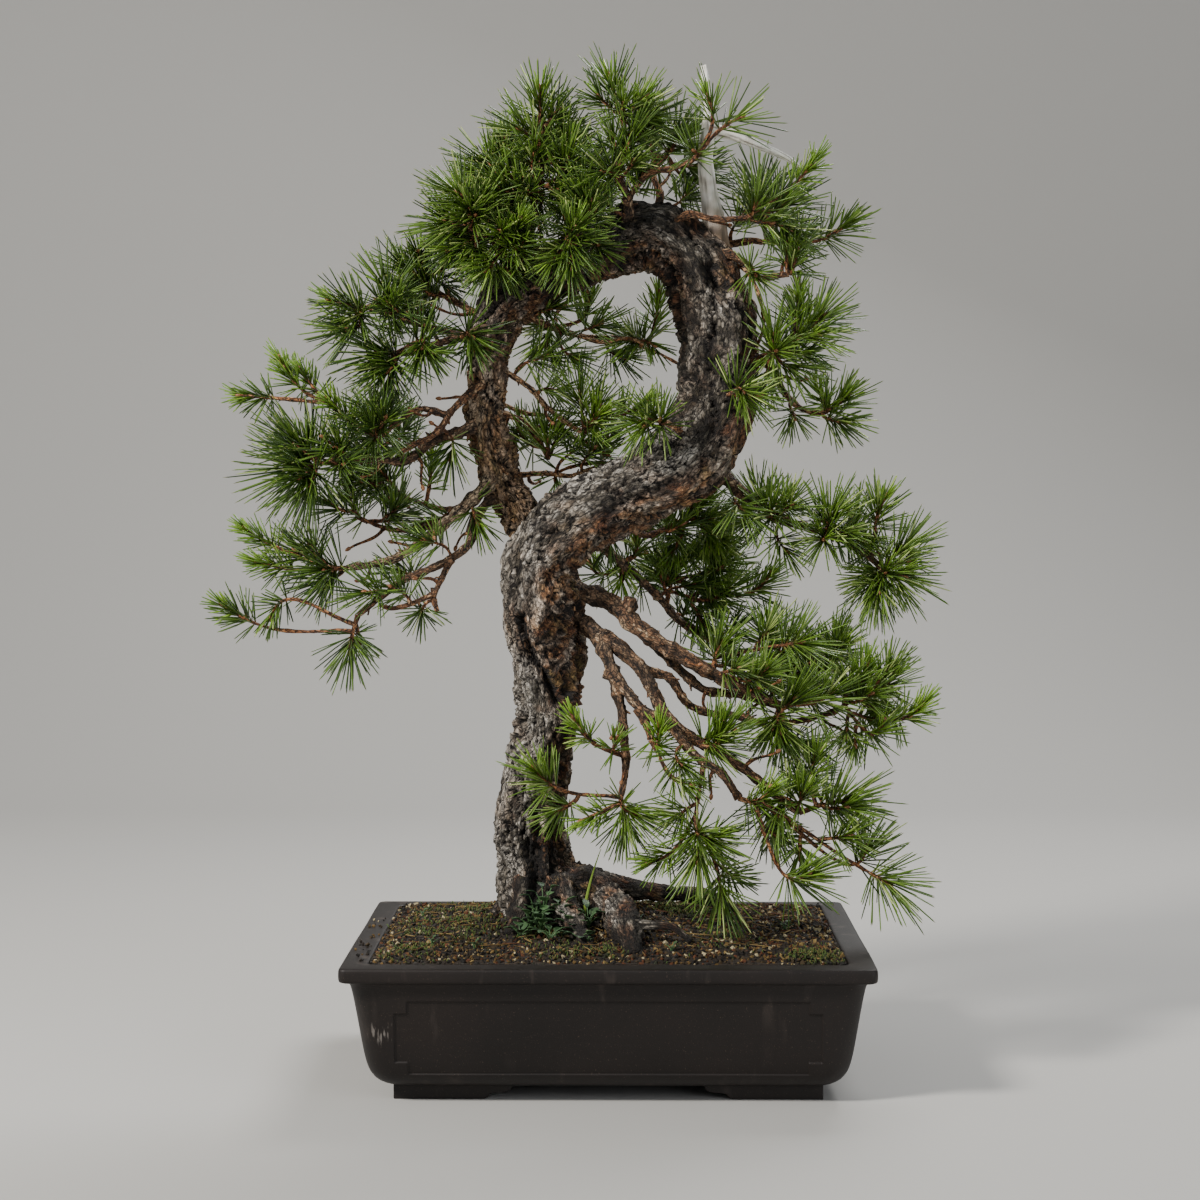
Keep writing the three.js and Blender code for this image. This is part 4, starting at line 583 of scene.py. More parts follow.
def build_mesh(name, skins, looks, smooth=True):
    """One mesh of several skins in millimetres, with their marks as point attributes."""
    offset = np.cumsum([0] + [len(s["points"]) for s in skins])
    points = np.vstack([s["points"] for s in skins])
    quads = np.vstack([s["quads"] + o for s, o in zip(skins, offset)])
    tris = np.vstack([s["tris"] + o for s, o in zip(skins, offset)])
    mesh = bpy.data.meshes.new(name)
    mesh.vertices.add(len(points))
    mesh.vertices.foreach_set("co", ((points + ORIGIN) * MM).ravel())
    corners = np.concatenate([quads.ravel(), tris.ravel()])
    mesh.loops.add(len(corners))
    mesh.loops.foreach_set("vertex_index", corners)
    starts = np.concatenate([np.arange(len(quads)) * 4, len(quads) * 4 + np.arange(len(tris)) * 3])
    mesh.polygons.add(len(starts))
    mesh.polygons.foreach_set("loop_start", starts)
    mesh.polygons.foreach_set("use_smooth", np.full(len(starts), smooth))
    slots = [s["look"] for s in skins]
    numbers = [np.repeat(slots, [len(s[kind]) for s in skins]) for kind in ("quads", "tris")]
    mesh.polygons.foreach_set("material_index", np.concatenate(numbers))
    mesh.update(calc_edges=True)
    for mark in sorted(set().union(*(s["marks"] for s in skins))):
        shape = next(s["marks"][mark] for s in skins if mark in s["marks"]).shape[1:]
        values = [s["marks"].get(mark, np.zeros((len(s["points"]), *shape))) for s in skins]
        kind, field = ("FLOAT_VECTOR", "vector") if shape else ("FLOAT", "value")
        attribute = mesh.attributes.new(mark, kind, "POINT")
        attribute.data.foreach_set(field, np.concatenate(values).astype(np.float32).ravel())
    for look in looks:
        mesh.materials.append(look)
    return mesh


def in_scene(name, data):
    """A new object in the scene with that data."""
    made = bpy.data.objects.new(name, data)
    bpy.context.scene.collection.objects.link(made)
    return made


def place(mesh, slot, *nodes):
    """The finished piece: it rides with the part and stands for the solids that are named."""
    piece = in_scene(mesh.name, mesh)
    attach(piece, "root")
    if nodes:
        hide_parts(*nodes)
    return piece


# Materials.


def paint(value):
    """Scene-linear colour of a hex code, or of a setting, which is linear already."""
    return linear(value) if isinstance(value, str) else tuple(value)


def add(tree, kind, inputs=None, **settings):
    """Adds a node: settings go on the node, values and links on its inputs."""
    made = tree.nodes.new(kind)
    for name, value in settings.items():
        setattr(made, name, value)
    for name, value in (inputs or {}).items():
        if isinstance(value, bpy.types.NodeSocket):
            tree.links.new(value, made.inputs[name])
        else:
            made.inputs[name].default_value = value
    return made


def finish(name, roughness, build, **sockets):
    """A material: `build` returns the shader's linked inputs, and the constants go on its sockets."""
    material = bpy.data.materials.new(name)
    material.use_nodes = True
    tree = material.node_tree
    tree.nodes.clear()
    place_in = add(tree, "ShaderNodeTexCoord").outputs["Object"]
    inputs = build(tree, place_in)
    shader = add(tree, "ShaderNodeBsdfPrincipled", {"Roughness": roughness, **sockets, **inputs})
    add(tree, "ShaderNodeOutputMaterial", {"Surface": shader.outputs["BSDF"]})
    return material


def mark(tree, name):
    """A value that the surface carries; flow is a place in metres along the grain."""
    made = add(tree, "ShaderNodeAttribute", attribute_name=name, attribute_type="GEOMETRY")
    return made.outputs["Vector" if name == "flow" else "Fac"]


def mix(tree, share, a, b, blend="MIX"):
    """Colour between a and b, which are links, hex codes or settings."""
    made = add(tree, "ShaderNodeMix", {0: share}, data_type="RGBA", blend_type=blend)
    for socket, value in ((6, a), (7, b)):
        if isinstance(value, bpy.types.NodeSocket):
            tree.links.new(value, made.inputs[socket])
        else:
            made.inputs[socket].default_value = (*paint(value), 1)
    return made.outputs[2]


def ramp(tree, value, *stops, steps="LINEAR"):
    """Colour by a value, from stops that each hold a position and a colour."""
    made = add(tree, "ShaderNodeValToRGB", {"Fac": value})
    colours = made.color_ramp.elements
    for i, (position, shade) in enumerate(stops):
        stop = colours[i] if i < len(colours) else colours.new(position)
        stop.position, stop.color = position, (*paint(shade), 1)
    made.color_ramp.interpolation = steps
    return made.outputs["Color"]


def stretched(tree, place_in, scale):
    """The place with each axis times a factor: noise is drawn out where the factor is small."""
    return add(tree, "ShaderNodeMapping", {"Vector": place_in, "Scale": scale}).outputs["Vector"]


def grit(tree, place_in, size, detail=3.0):
    """Noise with features of about that size in millimetres."""
    inputs = {"Vector": place_in, "Scale": 0.7 / (size * MM), "Detail": detail}
    return add(tree, "ShaderNodeTexNoise", inputs).outputs["Fac"]


def band(tree, value, low, high):
    """0 below low, 1 above high."""
    made = add(tree, "ShaderNodeMapRange", {"Value": value, "From Min": low, "From Max": high})
    return made.outputs["Result"]


def relief(tree, height, depth):
    """Bump of that depth in millimetres."""
    return add(tree, "ShaderNodeBump", {"Height": height, "Distance": depth * MM}).outputs["Normal"]


def flakes(tree, vector, size, seed):
    """Flakes of about that size in millimetres, with frayed borders: how near the border is,
    0 to 1, and a number for each flake."""
    fray = add(tree, "ShaderNodeTexNoise", {"Vector": vector, "Scale": 1.1 / (size * MM), "Detail": 4.0})
    parts = {0: fray.outputs["Color"], 1: (size * MM * 1.5,) * 3, 2: vector}
    frayed = add(tree, "ShaderNodeVectorMath", parts, operation="MULTIPLY_ADD").outputs["Vector"]
    moved = add(tree, "ShaderNodeVectorMath", {0: frayed, 1: (seed, seed, seed)}).outputs["Vector"]
    inputs = {"Vector": moved, "Scale": 1 / (size * MM), "Randomness": 1.0}
    border = add(tree, "ShaderNodeTexVoronoi", inputs, feature="DISTANCE_TO_EDGE").outputs["Distance"]
    cell = add(tree, "ShaderNodeTexVoronoi", inputs, feature="F1").outputs["Color"]
    number = add(tree, "ShaderNodeSeparateColor", {"Color": cell}).outputs["Red"]
    return band(tree, border, 0.16, 0.02), number


def product(tree, a, b):
    """a times b."""
    return add(tree, "ShaderNodeMath", {0: a, 1: b}, operation="MULTIPLY").outputs["Value"]


def sum_of(tree, first, *more):
    """first plus each value times its weight."""
    total = first
    for value, weight in more:
        parts = {0: value, 1: weight, 2: total}
        total = add(tree, "ShaderNodeMath", parts, operation="MULTIPLY_ADD").outputs["Value"]
    return total


def pine_bark(p):
    """Old pine bark: thin plates that lie over each other like shingles and flake off. They weather
    silver-grey; their torn edges and the cracks are painted nearly black, as the shade that falls between the
    raised flakes, and where one has come off the inner bark shows red-brown and ochre, with a breath of
    lichen. Dull and rough."""
    def build(tree, place_in):
        deep, tone, warm, flow = (mark(tree, name) for name in ("deep", "tone", "warm", "flow"))
        plate_edge, plate = flakes(tree, flow, 6.0, 0.0)
        chip_edge, chip = flakes(tree, flow, 2.6, 0.37)
        fibre = grit(tree, flow, 1.5, 5)
        mixed = sum_of(tree, tone, (plate, 0.4), (chip, 0.35), (fibre, 0.45))
        shade = band(tree, mixed, 0.6, 1.6)
        weathered = ramp(
            tree, shade, (0.0, "#27211a"), (0.28, "#4c453a"), (0.56, p.plate_colour), (1.0, "#cbc3b8"),
        )
        inner = ramp(tree, shade, (0.0, "#2f1b11"), (0.35, "#70462c"), (0.7, "#a0734e"), (1.0, "#c29c75"))
        lichen = product(tree, warm, band(tree, grit(tree, flow, 9, 4), 0.54, 0.84))
        both = mix(tree, lichen, mix(tree, warm, weathered, inner), "#7f7848")
        # Painted shade: the cracks and the borders of plates and chips are drawn towards the crack colour.
        crack_shade = sum_of(tree, deep, (plate_edge, 0.6), (chip_edge, 0.4))
        height = sum_of(tree, fibre, (plate, 1.2), (chip, 0.8), (plate_edge, -1.2), (chip_edge, -0.9))
        return {
            "Base Color": mix(tree, band(tree, crack_shade, 0.2, 1.1), both, p.crack_shade_colour),
            "Normal": relief(tree, height, 2.4),
        }
    return finish("weathered_pine_bark", 0.9, build)


def twig_bark(p):
    """Bark of limbs and twigs: thin scales, red-brown on young wood and dark grey-brown on old, with paler
    worn edges; the grooves and the borders of the scales are painted dark as shade; dull."""
    def build(tree, place_in):
        deep, tone, warm, flow = (mark(tree, name) for name in ("deep", "tone", "warm", "flow"))
        scale_edge, scale = flakes(tree, flow, 2.6, 0.0)
        fibre = grit(tree, flow, 1.2, 4)
        shade = band(tree, sum_of(tree, tone, (scale, 0.5), (fibre, 0.5)), 0.5, 1.6)
        old = ramp(tree, shade, (0.0, "#291f16"), (0.4, "#574736"), (0.75, "#857059"), (1.0, "#b5a48a"))
        young = ramp(tree, shade, (0.0, "#3e2314"), (0.4, "#86502d"), (0.75, "#b97a49"), (1.0, "#ddb083"))
        # Painted shade: grooves, splits and the borders of the scales are drawn towards the crack colour.
        crack_shade = sum_of(tree, deep, (scale_edge, 0.7))
        height = sum_of(tree, fibre, (scale, 1.0), (scale_edge, -1.1))
        both = mix(tree, warm, old, young)
        return {
            "Base Color": mix(tree, band(tree, crack_shade, 0.15, 1.0), both, p.crack_shade_colour),
            "Normal": relief(tree, height, 1.1),
        }
    return finish("scaly_twig_bark", 0.82, build)


def bleached_wood():
    """Deadwood stripped of its bark and bleached: bone white with grey checks along the grain,
    and tan where it still meets the live bark."""
    def build(tree, place_in):
        deep, tone, warm = mark(tree, "deep"), mark(tree, "tone"), mark(tree, "warm")
        plain = mix(tree, tone, "#e2dbcf", "#fbf8f1")
        tan = mix(tree, warm, plain, "#9a7350")
        fibre = grit(tree, stretched(tree, place_in, (1, 1, 0.1)), 1.8, 5)
        check = band(tree, sum_of(tree, deep, (fibre, 0.9)), 0.45, 1.3)
        return {"Base Color": mix(tree, check, tan, "#6f655a"), "Normal": relief(tree, fibre, 0.8)}
    return finish("bleached_deadwood", 0.7, build)


def pine_needles(p):
    """Pine needles: waxy, deep green and slightly glossy, with a pale sheath at the base and a
    browned point; this year's are a bright yellow-green."""
    def build(tree, place_in):
        fresh, tone, along = mark(tree, "fresh"), mark(tree, "tone"), mark(tree, "along")
        dark = mix(tree, band(tree, tone, 0.1, 0.7), p.shaded_colour, p.mature_colour)
        bright = mix(tree, tone, p.fresh_shade_colour, p.fresh_colour)
        # Needles of the highest tone are drawn pale grey-green: partly the waxy face of the needle, partly a
        # painted highlight.
        green = mix(tree, band(tree, tone, 0.82, 1.0), mix(tree, fresh, dark, bright), "#b6c578")
        tipped = mix(tree, band(tree, along, 0.93, 1.0), green, "#8f8a4a")
        return {"Base Color": mix(tree, band(tree, along, 0.1, 0.0), tipped, "#8a6a40")}
    return finish("waxy_pine_needles", 0.36, build, **{"IOR": 1.45, "Specular IOR Level": 0.45})


def bud_scales():
    """Resting buds: small resinous red-brown scales."""
    def build(tree, place_in):
        flake = grit(tree, place_in, 1.0, 2)
        brown = mix(tree, band(tree, flake, 0.35, 0.65), "#653720", "#a8764b")
        return {"Base Color": brown, "Normal": relief(tree, flake, 0.4)}
    return finish("resinous_bud_scales", 0.5, build)


# Chalky scratches on the front of the pot: x, z and reach of each, from a middle at this depth.
SCUFFS = [(-212, 70, 17), (-102, 124, 8), (62, 125, 9), (128, 78, 5)]
SCUFF_DEPTH = -130
FLATTENED = (1, 0.2, 1)  # depth counts for a fifth in their reach


def stoneware(p):
    """Unglazed dark stoneware, pressed in a mould: smooth dull purple-brown clay, a little paler
    where it is rubbed, with faint chalky stains and a fine sandy tooth."""
    def build(tree, place_in):
        cloud = grit(tree, place_in, 70, 4)
        clay = mix(tree, band(tree, cloud, 0.3, 0.7), p.clay_dark, p.clay_light)
        streak = band(tree, grit(tree, stretched(tree, place_in, (1, 1, 0.18)), 16, 5), 0.58, 0.78)
        dusty = mix(tree, product(tree, streak, mark(tree, "wear")), clay, "#4d433d")
        flat = stretched(tree, place_in, FLATTENED)
        line = band(tree, grit(tree, stretched(tree, place_in, (1, 1, 0.12)), 2.2, 3), 0.56, 0.66)
        for x, z, size in SCUFFS:
            spot = ((np.array([x, SCUFF_DEPTH, z]) + ORIGIN) * FLATTENED * MM).tolist()
            away = add(tree, "ShaderNodeVectorMath", {0: flat, 1: spot}, operation="DISTANCE")
            scratch = product(tree, band(tree, away.outputs["Value"], size * MM, 0.0), line)
            dusty = mix(tree, scratch, dusty, "#9a928b")
        sand = grit(tree, place_in, 0.9, 2)
        rough = add(tree, "ShaderNodeMapRange", {"Value": cloud, "To Min": 0.46, "To Max": 0.62})
        return {
            "Base Color": mix(tree, band(tree, sand, 0.66, 0.74), dusty, "#43372f"),
            "Roughness": rough.outputs["Result"],
            "Normal": relief(tree, sand, 0.12),
        }
    return finish("unglazed_stoneware", 0.5, build, **{"Specular IOR Level": 0.35})


def soil_bed():
    """Fine dark substrate between the grains: damp, dull and crumbly."""
    def build(tree, place_in):
        crumb = grit(tree, place_in, 2.0, 5)
        brown = mix(tree, band(tree, crumb, 0.35, 0.65), "#16110d", "#35291d")
        return {"Base Color": brown, "Normal": relief(tree, crumb, 1.5)}
    return finish("damp_substrate", 0.95, build)


def soil_grains():
    """Bonsai substrate: crushed lava, pumice, baked clay and bark, each grain in its own colour."""
    def build(tree, place_in):
        grain = ramp(
            tree, mark(tree, "tone"), (0.0, "#15110d"), (0.24, "#271e14"), (0.46, "#40321a"),
            (0.6, "#6b5228"), (0.74, "#5e3519"), (0.83, "#8f7745"), (0.89, "#3b3732"),
            (0.95, "#b8a983"), steps="CONSTANT",
        )
        mossy = mix(tree, mark(tree, "fresh"), grain, "#2b3515")
        crumb = grit(tree, place_in, 0.8, 3)
        rubbed = mix(tree, band(tree, crumb, 0.3, 0.7), "#8c8c8c", "#ffffff")
        return {"Base Color": mix(tree, 0.5, mossy, rubbed, "MULTIPLY"), "Normal": relief(tree, crumb, 0.5)}
    return finish("crushed_soil_grains", 0.9, build)


def moss():
    """Cushion moss: tiny upright leaves, dull green, some dried to brown at the tips."""
    def build(tree, place_in):
        tone = mark(tree, "tone")
        low = mix(tree, tone, "#18210b", "#334218")
        tips = mix(tree, band(tree, tone, 0.55, 0.9), "#4d6323", "#6e6230")
        return {"Base Color": mix(tree, mark(tree, "along"), low, tips)}
    return finish("cushion_moss", 0.8, build)


def soft_leaf():
    """Small soft weeds: thin matt green leaves with a paler vein side; grass (tone 2) is a
    light yellow-green."""
    def build(tree, place_in):
        tone = mark(tree, "tone")
        leaf = mix(tree, tone, "#21381f", "#426238")
        leaf = mix(tree, band(tree, grit(tree, place_in, 2.5, 2), 0.55, 0.7), leaf, "#5f7d4d")
        return {"Base Color": mix(tree, band(tree, tone, 1.0, 2.0), leaf, "#86a13e")}
    return finish("soft_weed_leaf", 0.55, build)


def plastic_mesh():
    """Drain screen: moulded black polypropylene, satin with a fine grain."""
    def build(tree, place_in):
        grain = grit(tree, place_in, 1.0, 2)
        return {"Base Color": mix(tree, grain, "#141414", "#242424"), "Normal": relief(tree, grain, 0.1)}
    return finish("moulded_polypropylene", 0.45, build)


# Trunk, roots, limbs and deadwood.

# Front of the trunk, as seen: cracks and the hollow above the crossing, with width and depth.
CLEFTS = [
    [[(-74, 262), (-72, 236), (-76, 205), (-74, 168)], 4.5, 6.5],
    [[(-58, 250), (-55, 222), (-58, 190), (-52, 165)], 4, 6],
    [[(-88, 448), (-85, 428), (-75, 408), (-60, 388), (-52, 366)], 5, 9],
    [[(-74, 216), (-73, 195), (-72, 172), (-71, 152)], 7.5, 14],
]
# The burl in front, where the returning trunk has grown in: its middle line, and half its width
# at heights.
BURL = [(-48, 480), (-56, 430), (-48, 400), (-43, 366)]
BURL_WIDTHS = [366, 400, 435, 480], [6, 19, 26, 22]
COLUMN_SIDES = 92


def girth(rows, points, wanted):
    """Radius at each wanted length along a path whose rows hold one, softened between rows."""
    lengths = lengths_along(points)
    at_rows = lengths[:: (len(points) - 1) // (len(rows) - 1)][: len(rows)]
    plain = np.interp(wanted, at_rows, [row[3] for row in rows])
    step = max(1, int(round(14 / max(wanted[1] - wanted[0], 0.1))))
    window = np.ones(2 * step + 1) / (2 * step + 1)
    return np.convolve(np.pad(plain, step, mode="edge"), window, "valid")


def grain_flow(along, angle, radius, stretch):
    """Place on a stem rolled out straight and drawn together lengthwise, so that what is
    spread evenly there is long along the grain. In millimetres."""
    s, a = np.broadcast_arrays(along[:, None], angle[None])
    r = np.broadcast_to(radius[:, None], s.shape)
    return np.stack([r * np.cos(a), r * np.sin(a), s * stretch], axis=-1)


def plated_bark(along, angle, radius, seed):
    """Height of old bark over a smooth stem, in mm, and its marks. Long fissures run where a
    slow noise passes through zero. Between them plates in two sizes of cells, with borders that
    two other noises push about, lie at different heights like torn shingles."""
    flow = grain_flow(along, angle, radius, 0.42)
    s, a = np.broadcast_arrays(along[:, None], angle[None])
    push, shove = waves(flow, 26, seed), waves(flow, 12, seed + 1)
    sway = 4.5 * waves(flow, 21, seed + 2) + 3 * waves(flow, 9, seed + 3)
    along_cells = s + 9 * push + 5 * shove
    round_cells = (a + sway / radius[:, None]) / (2 * np.pi)
    big_edge, big = cells(along_cells / 19, round_cells * 15, 15, seed)
    mid_edge, mid = cells(along_cells / 8.5, round_cells * 30 + 0.3, 30, seed + 1)
    slow = waves(flow, 44, seed + 4) + 0.3 * waves(flow, 14, seed + 5)
    fissure = np.exp(-((slow / 0.15) ** 2)) * ease(waves(flow, 60, seed + 6), -0.5, 0.3)
    crack = (1 - ease(big_edge, 0.0, 0.17)) * ease(push, -0.9, 0.0)
    split = 1 - ease(mid_edge, 0.0, 0.15)
    strips = waves(flow * [1, 1, 0.3], 13, seed + 10)
    rope = 0.04 + 0.05 * ease(s, 560, 700) * (1 - ease(s, 1050, 1150))
    ridges = radius[:, None] * rope * np.sin(5 * a + 3 * np.sin(s / 50)) + 1.9 * strips
    height = ridges + 2.8 * (big - 0.5) + 2.8 * (mid - 0.5) + 1.6 * waves(flow, 30, seed + 7) + 0.6 * shove
    height = height - 6.5 * fissure - 3.8 * crack - 1.5 * split + 1.8
    # Painted shade: deep says how far down a fissure, crack or split a place lies, and the bark is drawn
    # towards the crack colour there; the tone is also darker in the fissures.
    deep = np.clip(0.8 * fissure + 0.75 * crack + 0.22 * split, 0, 1)
    tone = 0.5 + 0.2 * (big - 0.5) + 0.25 * (mid - 0.5) + 0.22 * waves(flow, 34, seed + 8)
    tone = np.clip(tone - 0.3 * fissure + 0.1 * strips, 0, 1)
    return height, {"deep": deep, "tone": tone, "flow": flow * MM}


def cleft_press(seen, way, radius):
    """How far the clefts press the front in: a bell over the distance from each line, and at
    most 0.6 of the radius."""
    press = np.zeros(seen.shape[:-1])
    for line, width, depth in CLEFTS:
        press = np.maximum(press, depth * np.exp(-((from_line(seen, line) / width) ** 2)))
    return np.minimum(press, 0.6 * radius[:, None]) * ease(-way[..., 1], 0.0, 0.5)


def burl_share(seen, way):
    """How far the burl has swollen over a place on the front: an S over the distance from its
    middle line, as a share of its width there, which ends above the crossing."""
    width = np.interp(seen[..., 1], *BURL_WIDTHS)
    swollen = ease(1 - from_line(seen, BURL) / width, 0.0, 0.32) * ease(0.35 - way[..., 1], 0.0, 0.5)
    return swollen * (1 - ease(seen[..., 1], 462, 500))


def bark_marks_and_painted_light(marks, smooth, way, s, press, swollen, seed):
    """Marks of the trunk by place and direction. Red-brown: the underside past the first bend, the bare right
    side of the foot, patches, the burl and the clefts. Painted light: the left side of the foot and the top
    of the slanting stretch, which face the light, are paler, and the upper part of the returning trunk is
    drawn lighter with fainter cracks. Painted shade: the arch is darker, except its right-facing side, which
    is painted lighter, and the clefts are drawn dark. s is the length along the trunk."""
    under = ease(-way[..., 2], -0.1, 0.45) * ease(s, 300, 420)
    bare = ease(way[..., 0], -0.1, 0.6) * ease(0.3 - way[..., 1], 0.0, 0.5)
    bare = bare * (1 - ease(smooth[..., 2], 480, 540)) * (1 - ease(s, 420, 480))
    patch = ease(waves(smooth, 60, seed + 5) + 0.35 * waves(smooth, 14, seed + 9), 0.2, 0.7)
    arch = ease(s, 560, 700) * (1 - ease(s, 1000, 1100))
    above = ease(smooth[..., 2], 460, 600)
    late = ease(s, 1000, 1200) * (0.5 + 0.5 * above) + 0.65 * arch * ease(way[..., 0], 0.1, 0.9)
    warm = 0.95 * under + 0.8 * bare + (0.25 + late) * patch + late + 0.8 * swollen
    warm = np.clip(warm + np.maximum(press, 0) / 9, 0, 1)
    calm = 0.35 + 0.4 * ease(s, 1000, 1200)
    # Painted light: the upper part of the returning trunk is drawn lighter, with its cracks half as dark.
    painted_return_light = ease(s, 1050, 1200) * above
    # Painted light: paler where the foot faces left, towards the key light, and where the slanting stretch
    # faces up.
    pale = 1.5 * ease(0.4 - way[..., 0], 0.0, 0.6) * (1 - ease(smooth[..., 2], 420, 540))
    pale = pale + ease(way[..., 2], 0.0, 0.6) * ease(s, 330, 420) * (1 - ease(s, 600, 700))
    # Painted shade: the arch is drawn darker, and painted light makes its right-facing side lighter.
    shaded = 0.18 * arch * (1 - 1.6 * ease(way[..., 0], 0.3, 0.9))
    # Painted shade: where the clefts press in, the cracks are drawn darker.
    return {
        "deep": np.clip(marks["deep"] + np.maximum(press, 0) / 8, 0, 1) * (1 - 0.5 * painted_return_light),
        "warm": warm * (calm + (1 - calm) * ease(waves(marks["flow"] / MM, 13, seed + 8), -0.5, 0.3)),
        "tone": np.clip(marks["tone"] + 0.16 * pale + 0.12 * under - shaded + 0.8 * painted_return_light, 0, 1),
        "flow": marks["flow"],
    }


def column(rows, low, high, spacing, seed):
    """A stretch of the trunk: the tube of its rows' radii plus bark, pressed in at the clefts
    and swollen at the burl."""
    points = course(rows)
    path, along = evenly(points, spacing=spacing)
    radius = girth(rows, points, along)
    height, marks = plated_bark(along, around(COLUMN_SIDES), radius, seed)
    smooth, way = tube(path, np.broadcast_to(radius[:, None], height.shape), around(COLUMN_SIDES))
    seen = as_seen(smooth)
    swollen = burl_share(seen, way)
    press = cleft_press(seen, way, radius) * (1 - swollen)
    press = press - swollen * (10 + 2.5 * waves(smooth, 9, seed + 12))
    marks = bark_marks_and_painted_light(marks, smooth, way, along[:, None], press, swollen, seed)
    swell = waves(smooth, 62, seed + 6) * radius[:, None] * 0.075
    grid = smooth + way * (height + swell - press)[..., None]
    first, last = np.searchsorted(along, [low, high])
    cut = slice(first, last + 1)
    return grid[cut], {name: value[cut] for name, value in marks.items()}, path[cut]


def limb_rows(name):
    """A limb's course as a dense row of points, and its radius at both ends."""
    start, end, points = LIMBS[name]
    return spline(in_sight(points), 16), start, end


def scaly_stem(points, start, end, spacing, sides, seed, warmth, collar=0.8, pale=0.0):
    """A limb or twig: a tapered tube with twisted ridges, scales in cells, swellings every few centimetres,
    and a collar that widens it where it leaves older wood. Splits and the grooves between the ridges carry
    painted shade, the ridges painted light, and pale is painted light over the whole stem."""
    path, along = evenly(points, max(6, int(lengths_along(points)[-1] / spacing)))
    share = along / along[-1]
    radius = start + (end - start) * share
    radius = radius * (1 + collar * np.exp(-along / (1.5 * start)))
    angle = around(sides)
    s, a = np.broadcast_arrays(along[:, None], angle[None])
    rng = np.random.default_rng(seed)
    phase = rng.uniform(0, 6.3, 4)
    knots = np.zeros(len(along))
    for middle in np.arange(rng.uniform(8, 20), along[-1], 23):
        rise = rng.uniform(0.08, 0.3)
        away = along - middle - rng.uniform(-5, 5)
        knots += rise * np.exp(-(away / rng.uniform(2.4, 5)) ** 2)
    flow = grain_flow(along, angle, np.full(len(along), start), 0.5)
    lengthways = s / max(4.0, start * 1.3) + 0.3 * waves(flow, 9, seed)
    edge, tone = cells(lengthways, a / (2 * np.pi) * 5 + s / 40, 5, seed)
    twist = 0.11 * np.sin(3 * a + s / 10 + phase[0]) + 0.06 * np.sin(5 * a - s / 7 + phase[1])
    lumps = 0.1 * waves(flow + 50 * phase[2], 15, seed + 1)
    split = 1 - ease(edge, 0, 0.22)
    reach = radius[:, None] * (1 + twist + lumps + knots[:, None] + 0.2 * (tone - 0.5) - 0.1 * split)
    grid, _ = tube(path, reach, angle)
    # Painted shade in splits and grooves (deep); painted light on the ridges and from pale (tone).
    marks = {
        "deep": np.clip(0.5 * split + 0.6 * ease(-twist, 0.06, 0.17), 0, 1),
        "tone": np.clip(0.25 + 0.4 * tone + 0.3 * (twist + 0.1) / 0.2 + pale, 0, 1.6),
        "warm": np.clip(warmth + 0.35 * share[:, None] + 0.3 * (tone - 0.5), 0, 1),
        "flow": (flow + phase[:3] * 40) * MM,
    }
    return closed(grid, marks)


def wood_stretches():
    """Trunk, roots and deadwood as straight stretches with a radius, for growth to keep out of."""
    ends_a, ends_b, radii = [], [], []
    for rows in (TRUNK, *ROOTS, *DEADWOOD):
        points = in_sight([row[:3] for row in rows])
        ends_a.append(points[:-1])
        ends_b.append(points[1:])
        radii.append(np.array([(p[3] + q[3]) / 2 for p, q in zip(rows[:-1], rows[1:])]))
    return np.vstack(ends_a), np.vstack(ends_b), np.concatenate(radii)


def make_trunk(p):
    """The trunk in two pieces that meet behind the left foliage, where each narrows to 0.86 of
    its radius in its last ring, and the surface roots."""
    look = pine_bark(p)
    total = lengths_along(course(TRUNK))
    joint = total[TRUNK_SPLIT * PER_SPAN]
    for name, low, high in (("trunk", -1, joint + 3), ("trunk_return", joint - 3, total[-1] + 1)):
        grid, marks, path = column(TRUNK, low, high, p.ring_spacing / MM, 11)
        end = -1 if name == "trunk" else 0
        grid[end] = path[end] + (grid[end] - path[end]) * 0.86
        place(build_mesh(name, [closed(grid, marks)], [look]), "bark", "tree")
    skins = []
    for i, rows in enumerate(ROOTS):
        points = course(rows)
        path, along = evenly(points, spacing=2.2)
        radius = girth(rows, points, along)
        angle = around(30 if rows[0][3] > 10 else 16)
        height, marks = plated_bark(along, angle, np.maximum(radius, 8), 31 + 7 * i)
        lumps = waves(path, 30, 51 + i)[:, None] * radius[:, None] * 0.12
        reach = radius[:, None] + height * np.clip(radius[:, None] / 26, 0.18, 0.8) + lumps
        grid, way = tube(path, reach, angle)
        press = cleft_press(as_seen(grid), way, radius)
        grid = grid - way * press[..., None]
        above = grid[..., 2] - soil_height(grid[..., 0], grid[..., 1])
        damp = np.exp(-np.maximum(above, 0) / 9)
        marks["warm"] = np.clip(0.22 + 0.5 * waves(grid, 30, 60 + i), 0, 1) * (1 - 0.5 * damp)
        marks["tone"] = np.clip(marks["tone"] - 0.12 - 0.3 * damp, 0, 1)
        # Painted shade: where the clefts press in, the bark is drawn darker.
        marks["deep"] = np.clip(marks["deep"] + 0.35 * damp + press / 8, 0, 1)
        skins.append(closed(grid, marks))
    place(build_mesh("surface_roots", skins, [look]), "bark", "tree")


